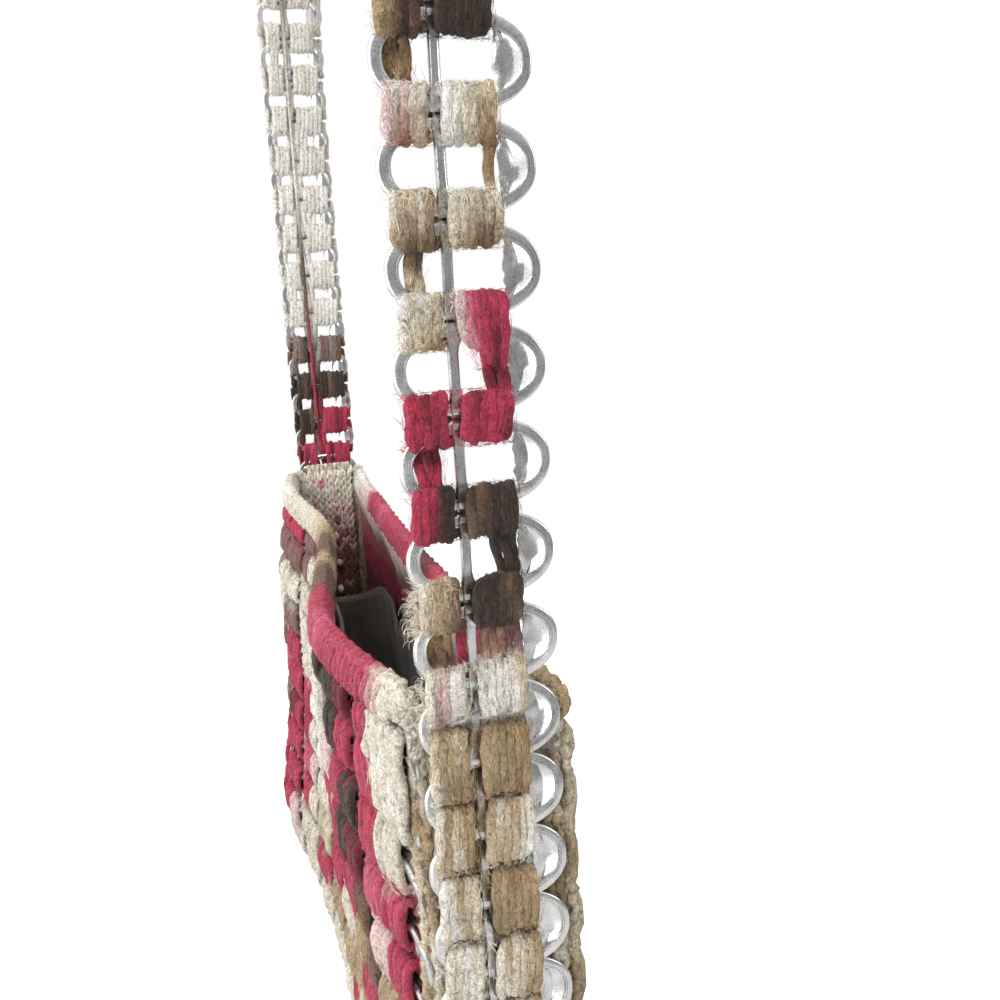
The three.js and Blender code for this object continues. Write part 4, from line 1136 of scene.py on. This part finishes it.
def panel(side, seed):
    rng = np.random.default_rng(seed)
    e = 1 if side == "front" else -1
    tabs, wool, cloth = Soup(), Soup(), Soup()
    for c in range(COLUMNS):
        x = -PANEL_END + (c + 0.5) * COL_PITCH
        for r in range(ROWS):
            h = TOP_ROW - r * ROW_PITCH
            fr = panel_frame(side, x + rng.normal(0, 0.25), h + rng.normal(0, 0.2), 1.5)
            near_edge = side == "front" and c == COLUMNS - 1
            if near_edge:
                fr = move(tilt(fr, -5 + rng.uniform(-1.5, 1.5), rng.uniform(-3.0, 3.0), 0.0), 0.2, 0, -0.9 if r == 0 else -0.25)
            else:
                fr = tilt(fr, 6 + rng.uniform(-2, 2), rng.uniform(-2.0, 2.0), rng.uniform(-2.5, 2.5))
            add_tab(tabs, MID_TAB if near_edge and r < 6 else LOW_TAB, fr)
    for c in range(COLUMNS):
        x = -PANEL_END + (c + 0.5) * COL_PITCH
        words_ = (FRONT_YARN if side == "front" else BACK_YARN)[c].split()
        for j_ in range(ROWS):
            h = TOP_JOINT - j_ * ROW_PITCH - (2.6 if j_ == 0 else 0)
            jf = panel_frame(side, x, h, 1.35)
            close = side == "front" and c >= 7 and j_ < 7
            n, sides_ = (8, 6) if close else (7, 5) if side == "front" else (6, 5)
            tall = 2.9 if j_ == 0 else 4.6
            if side == "front" and c == COLUMNS - 1 and 0 < j_ < 3:
                tall = 5.9
            w = np.linspace(-0.12, 1.12, n) * math.pi
            for b_, (u0, u1) in enumerate((LEFT, RIGHT)):
                turns = 5 if close or b_ and side == "front" else 4
                us = np.linspace(u0 + 0.9, u1 - 0.9, turns) + rng.normal(0, 0.15, turns)
                half = tall + rng.normal(0, 0.35, (turns, 1))
                v = half * np.cos(w)[None] * -1
                out = (1.7 + rng.normal(0, 0.2, (turns, 1))) * np.sign(np.sin(w)) * np.abs(np.sin(w))[None] ** 0.7
                u = us[:, None] + rng.normal(0, 0.05) * v
                L = np.stack([np.broadcast_to(u, v.shape), v, out], -1)
                xx = x + e * us
                col = yarn_at(side, np.broadcast_to(xx[:, None], v.shape), h + v + rng.normal(0, 1.6, (turns, 1)))
                tubes(wool, place(jf, L), 1.06 if turns == 5 else 1.25, sides_, col * rng.uniform(0.85, 1.15, (turns, 1, 1)), hint=jf[1], rng=rng, caps=True, lump=0.05 if close else 0.0)
                word = (words_[j_].split("/") * 2)[b_ if e > 0 else 1 - b_]
                count = 60 if close and c >= 9 else 12 if close else 1
                hair_on_block(fuzz, jf, "left" if b_ == 0 else "right", (word, word), rng, count, thick=2.7, half=tall + 1.0, width=0.11 if close else 0.14, proud=0.8)
    if side == "front":
        x0 = PANEL_END - COL_PITCH / 2
        for n_, dx in enumerate(np.linspace(-5.5, 11.6, 12)):
            s = np.linspace(0, 1, 12)
            h = 147.5 - (20 if dx > 0 else 11) * s + rng.normal(0, 0.6)
            o, a, b, c_ = panel_frame(side, np.full(12, x0 + dx) + 0.3 * np.sin(5 * s + n_), h, 0.7)
            P = o + c_ * (1.0 * np.sin(math.pi * s) + 0.5 * np.sin(9 * s + 1.7 * n_))[:, None] * 0.9
            tone = YARN["magenta"] if dx < -4 else YARN["cream" if n_ % 3 else "white"]
            tubes(wool, P[None], 1.15, 7, tone, hint=(1, 0, 0), rng=rng, lump=0.07)
        fr = panel_frame(side, x0, 137.5, 0.9)
        hair_on_block(fuzz, fr, "right", ("white cream white cream", "cream cream beige cream"), rng, 420, thick=1.9, half=9.5, width=0.1, proud=1.2, wide=(-4.5, 12.8))
    # crocheted seams between the columns and along the ends
    for c in range(COLUMNS + 1):
        x = -PANEL_END + c * COL_PITCH
        if side == "front" and c == COLUMNS:
            continue
        x = min(max(x, -PANEL_END + 1.2), PANEL_END - 1.2)
        h = np.arange(5.5, 147.5, 1.7)
        o, a, b, n_ = panel_frame(side, np.full_like(h, x), h, 0.9)
        col = yarn_at(side, np.full_like(h, x + (0.6 if c < COLUMNS else -0.6)), h)
        braid(wool, o, n_, a, 1.05, 1.15, 6.0, col * 0.97, rng=rng, strands=2, depth=0.55, sides=5)
    ob = tabs.build(f"panel_{side}_tabs", METAL, 35)
    ob2 = wool.build(f"panel_{side}_wool", WOOL)

    # the crocheted cloth between and behind the tabs, a closed thin sheet with rows of stitches raised on it
    xs = np.linspace(-PANEL_END + 0.4, PANEL_END - 0.4, 108)
    hs = np.linspace(4.0, 147.6, 54)
    X, H = np.meshgrid(xs, hs)
    ridge = 0.45 * np.sin(X * 2 * math.pi / 9.1) * np.sin(H * 2 * math.pi / 9.3 + np.sin(X * 2 * math.pi / 15.8))
    outer = skin(side, X, H, 2.35 - 0 * X)
    inner = skin(side, X, H, 3.5 - 0 * X)
    outer[..., 1] += (-1 if side == "front" else 1) * ridge
    inner[..., 1] += (1 if side == "front" else -1) * ridge * 0.8
    col = yarn_at(side, X, H)
    edge_ = np.clip((X - PANEL_END + 4.5) / 1.5, 0, 1)[..., None]
    col = col * (1 - edge_) + YARN["tan"] * edge_
    r_, c_ = X.shape
    i, j = np.arange(r_ - 1)[:, None], np.arange(c_ - 1)[None]
    A = i * c_ + j
    q = np.stack(np.broadcast_arrays(A, A + 1, A + c_ + 1, A + c_), -1).reshape(-1, 4)
    N0 = r_ * c_
    loop = [x_ for x_ in range(c_)] + [y_ * c_ + c_ - 1 for y_ in range(1, r_)] + [(r_ - 1) * c_ + x_ for x_ in range(c_ - 2, -1, -1)] + [y_ * c_ for y_ in range(r_ - 2, 0, -1)]
    edge = [[loop[k], loop[k] + N0, loop[(k + 1) % len(loop)] + N0, loop[(k + 1) % len(loop)]] for k in range(len(loop))]
    faces = np.concatenate([q, q[:, ::-1] + N0, np.array(edge)])
    if side == "back":
        faces = faces[:, ::-1]
    # The outer face takes the column's yarn colour at four fifths: painted shade on the cloth sunk behind the tabs and
    # stitches.
    cloth.add(
        np.concatenate([outer.reshape(-1, 3), inner.reshape(-1, 3)]),
        quads=faces,
        col=np.concatenate([col.reshape(-1, 3) * 0.8, inner_tone(side, X, H).reshape(-1, 3) * 1.25]),
        fib=np.concatenate([np.stack([X, H * 0.4, X * 0], -1).reshape(-1, 3), np.stack([X, H * 0.4, X * 0 + 50], -1).reshape(-1, 3)]),
    )
    ob3 = cloth.build(f"panel_{side}_cloth", KNIT)
    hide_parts(f"panel_{side}")
    return ob3


# ------------------------------------------------------------------ border of the mouth
FRONT_EDGE = "cream cream white cream cream cream cream beige tan brown brown tan brown brown magenta magenta rose magenta magenta magenta cream"
BACK_EDGE = "white white cream pink magenta magenta rose magenta magenta magenta magenta dark maroon magenta tan tan brown magenta cream cream tan"


def border(side, names, seed):
    rng = np.random.default_rng(seed)
    folds, sign = (FRONT_FOLDS, -1) if side == "front" else (BACK_FOLDS, 1)
    soup = Soup()

    def centre(x):
        y = sign * (13.65 + along(folds, x, "bow"))
        z = (BORDER_LOW + BORDER_HIGH) / 2 - along(folds, x, "drop")
        return np.stack([x, y, z], -1)

    def tone(x):
        return blend_row(names, (x + PANEL_END) / (2 * PANEL_END))

    # a core, then upright stitches over it, then a chain along the top
    x = np.linspace(-PANEL_END + 1.5, PANEL_END - 1.5, 120)
    w = np.linspace(0, 2 * math.pi, 10, endpoint=False)
    C = centre(x)
    ring = np.stack([np.zeros_like(w), 1.7 * np.cos(w), 3.0 * np.sin(w)], -1)
    V = C[:, None] + ring[None]
    k = len(w)
    i, j = np.arange(len(x) - 1)[:, None], np.arange(k)[None]
    q = np.stack(np.broadcast_arrays(i * k + j, i * k + (j + 1) % k, (i + 1) * k + (j + 1) % k, (i + 1) * k + j), -1).reshape(-1, 4)
    ends = np.array([[0, m_, m_ + 1] for m_ in range(1, k - 1)])
    last = (len(x) - 1) * k
    ends2 = np.array([[last, last + m_ + 1, last + m_] for m_ in range(1, k - 1)])
    # The core takes the border's yarn at seven tenths: painted shade for the core under the stitches.
    soup.add(V.reshape(-1, 3), q[:, ::-1], np.concatenate([ends, ends2])[:, ::-1][:, [0, 1, 2]], col=np.repeat(tone(x) * 0.7, k, 0))
    pitch = 3.1
    for x0 in np.arange(-PANEL_END + 2.0, PANEL_END - 1.5, pitch):
        n = 11
        s = np.linspace(0, 1, n)
        a = s * 1.25 * math.pi - 0.125 * math.pi
        rr = 1 + rng.uniform(-0.06, 0.06)
        xx = x0 + pitch * 0.95 * (s - 0.5) + rng.normal(0, 0.12)
        c = centre(np.clip(xx, -PANEL_END + 1.2, PANEL_END - 1.2))
        P = c + np.stack([0 * s, sign * 1.95 * rr * np.cos(a), -0.6 + 3.0 * rr * np.sin(a) * np.where(np.sin(a) < 0, 1.0, 1.0) - 2.1 * (np.abs(np.cos(a)) ** 3)], -1)
        tubes(soup, P[None], 1.3, 6, (tone(xx) * rng.uniform(0.86, 1.1))[None], hint=(1, 0, 0), rng=rng)
    # each end is turned over with stitches that lie round it
    for end in (-1, 1):
        for a0 in np.linspace(-0.5, 1.5, 9):
            s = np.linspace(0, 1, 9)
            e_x = end * (PANEL_END - 2.2 + 2.0 * np.sin(s * math.pi / 2 * 1.15))
            c = centre(np.clip(e_x, -PANEL_END + 1.0, PANEL_END - 1.0))
            c[:, 0] = e_x
            shrink = np.cos(s * math.pi / 2 * 0.98)
            P = c + np.stack([0 * s, 1.75 * shrink * math.cos(a0 * math.pi), 2.7 * shrink * math.sin(a0 * math.pi)], -1)
            tubes(soup, P[None], 1.05, 7, (tone(np.clip(e_x, -139, 139)) * rng.uniform(0.88, 1.08))[None], hint=(0.2, 1, 0.3), rng=rng)
    # the chain: two strands that swing from side to side, a touch lighter than the stitches below: painted highlight on
    # the top
    x = np.arange(-PANEL_END + 1.8, PANEL_END - 1.7, 0.78)
    for ph in (0, math.pi):
        c = centre(x)
        P = c + np.stack([0 * x, 0.95 * np.sin(x * 2 * math.pi / 6.2 + ph), 2.75 + 0.45 * np.cos(2 * x * 2 * math.pi / 6.2 + ph)], -1)
        tubes(soup, P[None], 1.05, 7, (tone(x) * 1.03)[None], hint=(0, 0, 1), rng=rng)
    # fibres over the edge
    c_ = 420 if side == "front" else 120
    x0 = rng.uniform(-60, PANEL_END - 2, (c_, 1)) if side == "front" else rng.uniform(-PANEL_END + 2, PANEL_END - 2, (c_, 1))
    n = 5
    a = rng.uniform(-0.2, 1.2, (c_, 1)) * math.pi + np.linspace(-0.3, 0.3, n)[None]
    lift = rng.random((c_, 1)) ** 2 * 0.7 * np.linspace(-1, 1, n)[None] ** 2 + 0.1
    xx = x0 + np.cumsum(rng.normal(0, 0.25, (c_, n)), 1)
    c = centre(np.clip(xx, -PANEL_END + 1, PANEL_END - 1))
    P = c + np.stack([0 * a, sign * (3.1 + lift) * np.cos(a), -0.2 + (4.0 + lift) * np.sin(a)], -1)
    # The fibres are scaled at random, on average about a sixth lighter than the border: random tone plus painted
    # highlight on the loose fibres.
    hairs(fuzz, P, rng.uniform(0.07, 0.11, c_), np.clip(tone(x0[:, 0]) * np.exp(rng.normal(0.1, 0.3, (c_, 1))), 0, 0.95))
    ob = soup.build(f"border_{side}_stitches", WOOL)
    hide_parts(f"border_{side}")
    return ob


border("front", FRONT_EDGE, 81)
border("back", BACK_EDGE, 82)
panel("front", 51)
panel("back", 52)


# ------------------------------------------------------------------ seams at the four upright corners
corner = Soup()
rng = np.random.default_rng(91)
for end in (1, -1):
    for side, sgn in (("front", -1), ("back", 1)):
        z = np.arange(8, 150, 1.3)
        y = sgn * (12.7 + 0.3 * np.sin(z * 0.21))
        P = np.stack([np.full_like(z, end * 137.6), y, z], -1)
        a = np.broadcast_to(np.array([0.45, 0.9 * sgn * end, 0]), P.shape)
        o = np.broadcast_to(np.array([0.9 * end, -0.3 * sgn, 0]), P.shape)
        names = "cream beige tan beige tan beige tan tan beige beige tan cream"
        braid(corner, P, o, a, 1.3, 1.1, 6.4, blend_row(names, z / 150), rng=rng, strands=3, depth=0.5, sides=6)
ob = corner.build("corner_seams", WOOL)


# ------------------------------------------------------------------ lining
def lining():
    soup = Soup()
    thick, clear, end_x, bottom = 1.2, 2.1, 133.6, 7.4
    around = 140
    t = np.linspace(0, 1, around, endpoint=False)
    # x and side of each point round the pouch
    def ring(share, inset):
        ex = end_x - inset
        x = ex * np.sin(2 * math.pi * (t - 0.25)) if False else None
        p = np.where(t < 0.5, -1 + 4 * t, 3 - 4 * t)
        soft = np.sign(p) * (1 - (1 - np.abs(p)) ** 1.25)
        x = ex * soft
        h = bottom + share * (108 - bottom)
        Z = np.array(LEVELS["z"][2:], float)
        take = lambda c: np.interp(h, Z, np.array(LEVELS[c][2:], float))
        y = np.empty(around)
        z = np.empty(around)
        for mask, folds, sign, col in ((t < 0.5, FRONT_FOLDS, -1, "front"), (t >= 0.5, BACK_FOLDS, 1, "back")):
            xx = x[mask]
            yy = take("in") + take("belly") * along(folds, xx, "belly") + take("bow") * along(folds, xx, "bow") - clear - inset
            fade = np.clip((ex - np.abs(xx)) / 10.0, 0, 1)
            yy = yy * (0.12 + 0.88 * np.sqrt(1 - (1 - fade) ** 2))
            wave = 0.7 * np.sin(xx * 0.16 + 5 * share) * share + 0.35 * np.sin(xx * 0.41 + 1.3)
            y[mask] = sign * (yy - 0.5 - wave * np.clip(fade * 2 - 0.2, 0, 1) * 0.8)
            z[mask] = bottom + share * (along(LINING_TOP, xx, col) - bottom)
        return np.stack([x, y, z], -1)

    shares = np.linspace(0, 1, 26)
    walls = [ring(s, 0.0) for s in shares] + [ring(s, thick) for s in shares[::-1]]
    floor_in = walls[-1].copy()
    floor_in[:, 2] = bottom + thick
    walls[-1] = floor_in
    V = np.array(walls)
    k = around
    i, j = np.arange(len(walls) - 1)[:, None], np.arange(k)[None]
    q = np.stack(np.broadcast_arrays(i * k + j, i * k + (j + 1) % k, (i + 1) * k + (j + 1) % k, (i + 1) * k + j), -1).reshape(-1, 4)
    # both floors are closed across the pouch
    half = k // 2
    floor = []
    for m_ in range(0, half):
        a_, b_ = m_, m_ + 1
        c_, d_ = (k - m_ - 1) % k, (k - m_) % k
        floor.append([a_, b_, c_, d_])
    floor = np.array(floor)
    low = [f for f in floor if len(set(f.tolist())) == 4]
    low3 = [[x_ for n_, x_ in enumerate(f.tolist()) if x_ not in f.tolist()[:n_]] for f in floor if len(set(f.tolist())) == 3]
    low, low3 = np.array(low), np.array(low3).reshape(-1, 3)
    lastrow = (len(walls) - 1) * k
    faces = np.concatenate([q, low[:, ::-1], low + lastrow])
    tri = np.concatenate([low3[:, ::-1], low3 + lastrow]) if len(low3) else np.zeros((0, 3), int)
    v = V.reshape(-1, 3)
    if volume(v, faces, tri) < 0:
        faces, tri = faces[:, ::-1], tri[:, ::-1]
    tone = linear((112, 111, 103))
    soup.add(v, faces, tri, col=tone)
    ob = soup.build("lining_pouch", CLOTH)
    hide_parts("lining")
    return ob


lining()

ob = fuzz_near.build("wool_fibres_near", HAIR)
ob = fuzz_low.build("wool_fibres_gusset", HAIR)
ob = fuzz.build("wool_fibres", HAIR)

# ------------------------------------------------------------------ floor, world and lights
floor_mat, nt, bsdf = nodes_of("floor_paper")
bsdf.inputs["Base Color"].default_value = (0.55, 0.55, 0.545, 1)
bsdf.inputs["Roughness"].default_value = 0.9
bsdf.inputs["Emission Color"].default_value = (1, 1, 0.995, 1)
ray = nt.nodes.new("ShaderNodeLightPath")
nt.links.new(mapped(nt, ray.outputs["Is Camera Ray"], 0.0, 1.0, 0.06, 0.76), bsdf.inputs["Emission Strength"])
bpy.ops.mesh.primitive_circle_add(vertices=96, radius=0.62, fill_type="NGON", location=(0, 0, -0.0002))
floor = bpy.context.object
floor.name = "floor"
floor.data.materials.append(floor_mat)

world = bpy.context.scene.world or bpy.data.worlds.new("studio")
bpy.context.scene.world = world
world.use_nodes = True
nt = world.node_tree
nt.nodes.clear()
out = nt.nodes.new("ShaderNodeOutputWorld")
bg = nt.nodes.new("ShaderNodeBackground")
bg2 = nt.nodes.new("ShaderNodeBackground")
mix = nt.nodes.new("ShaderNodeMixShader")
lp = nt.nodes.new("ShaderNodeLightPath")
tc = nt.nodes.new("ShaderNodeTexCoord")
sep = nt.nodes.new("ShaderNodeSeparateXYZ")
nt.links.new(tc.outputs["Generated"], sep.inputs[0])
# bright to the left, overhead and behind the bag, grey in front and darker to the right
vx = mapped(nt, sep.outputs["X"], -0.75, 0.1, 0.35, 0.0)
vy = mapped(nt, sep.outputs["Y"], -0.97, -0.55, 1.3, 0.0)
vz = mapped(nt, sep.outputs["Z"], 0.25, 0.9, 0.0, 0.7)
vr = mapped(nt, sep.outputs["Y"], 0.3, 0.9, 0.0, -0.12)
lobe = maths(nt, "MULTIPLY", mapped(nt, sep.outputs["Y"], -0.34, -0.22, 1.0, 0.0), mapped(nt, sep.outputs["X"], 0.3, 0.6, 0.0, 1.0))
level = maths(nt, "ADD", maths(nt, "ADD", vx, vy), maths(nt, "ADD", vz, maths(nt, "ADD", vr, 0.42)))
level = maths(nt, "ADD", level, lobe)
nt.links.new(level, bg.inputs["Strength"])
bg.inputs["Color"].default_value = (1, 1, 1, 1)
bg2.inputs["Color"].default_value = (1, 1, 1, 1)
bg2.inputs["Strength"].default_value = 1.0
nt.links.new(lp.outputs["Is Camera Ray"], mix.inputs[0])
nt.links.new(bg.outputs[0], mix.inputs[1])
nt.links.new(bg2.outputs[0], mix.inputs[2])
nt.links.new(mix.outputs[0], out.inputs[0])


def area(name, at, aim, size, watts, colour=(1, 1, 1)):
    data = bpy.data.lights.new(name, "AREA")
    data.shape = "DISK"
    data.size = size
    data.energy = watts
    data.color = colour
    o = bpy.data.objects.new(name, data)
    bpy.context.scene.collection.objects.link(o)
    o.location = at
    o.rotation_euler = (Vector(aim) - Vector(at)).to_track_quat("-Z", "Y").to_euler()
    return o


area("key", (0.75, -0.75, 0.75), (0.1, 0, 0.18), 0.5, 6.0, (1, 0.985, 0.96))
area("left_front", (0.98, -0.44, 0.03), (0.14, 0, 0.2), 0.34, 1.0, (1, 1, 1))
area("right", (0.45, 0.95, 0.55), (0.1, 0, 0.15), 0.5, 2.2, (1, 0.99, 0.97))
area("top", (0.0, 0.0, 1.1), (0, 0, 0.1), 0.6, 3.0)
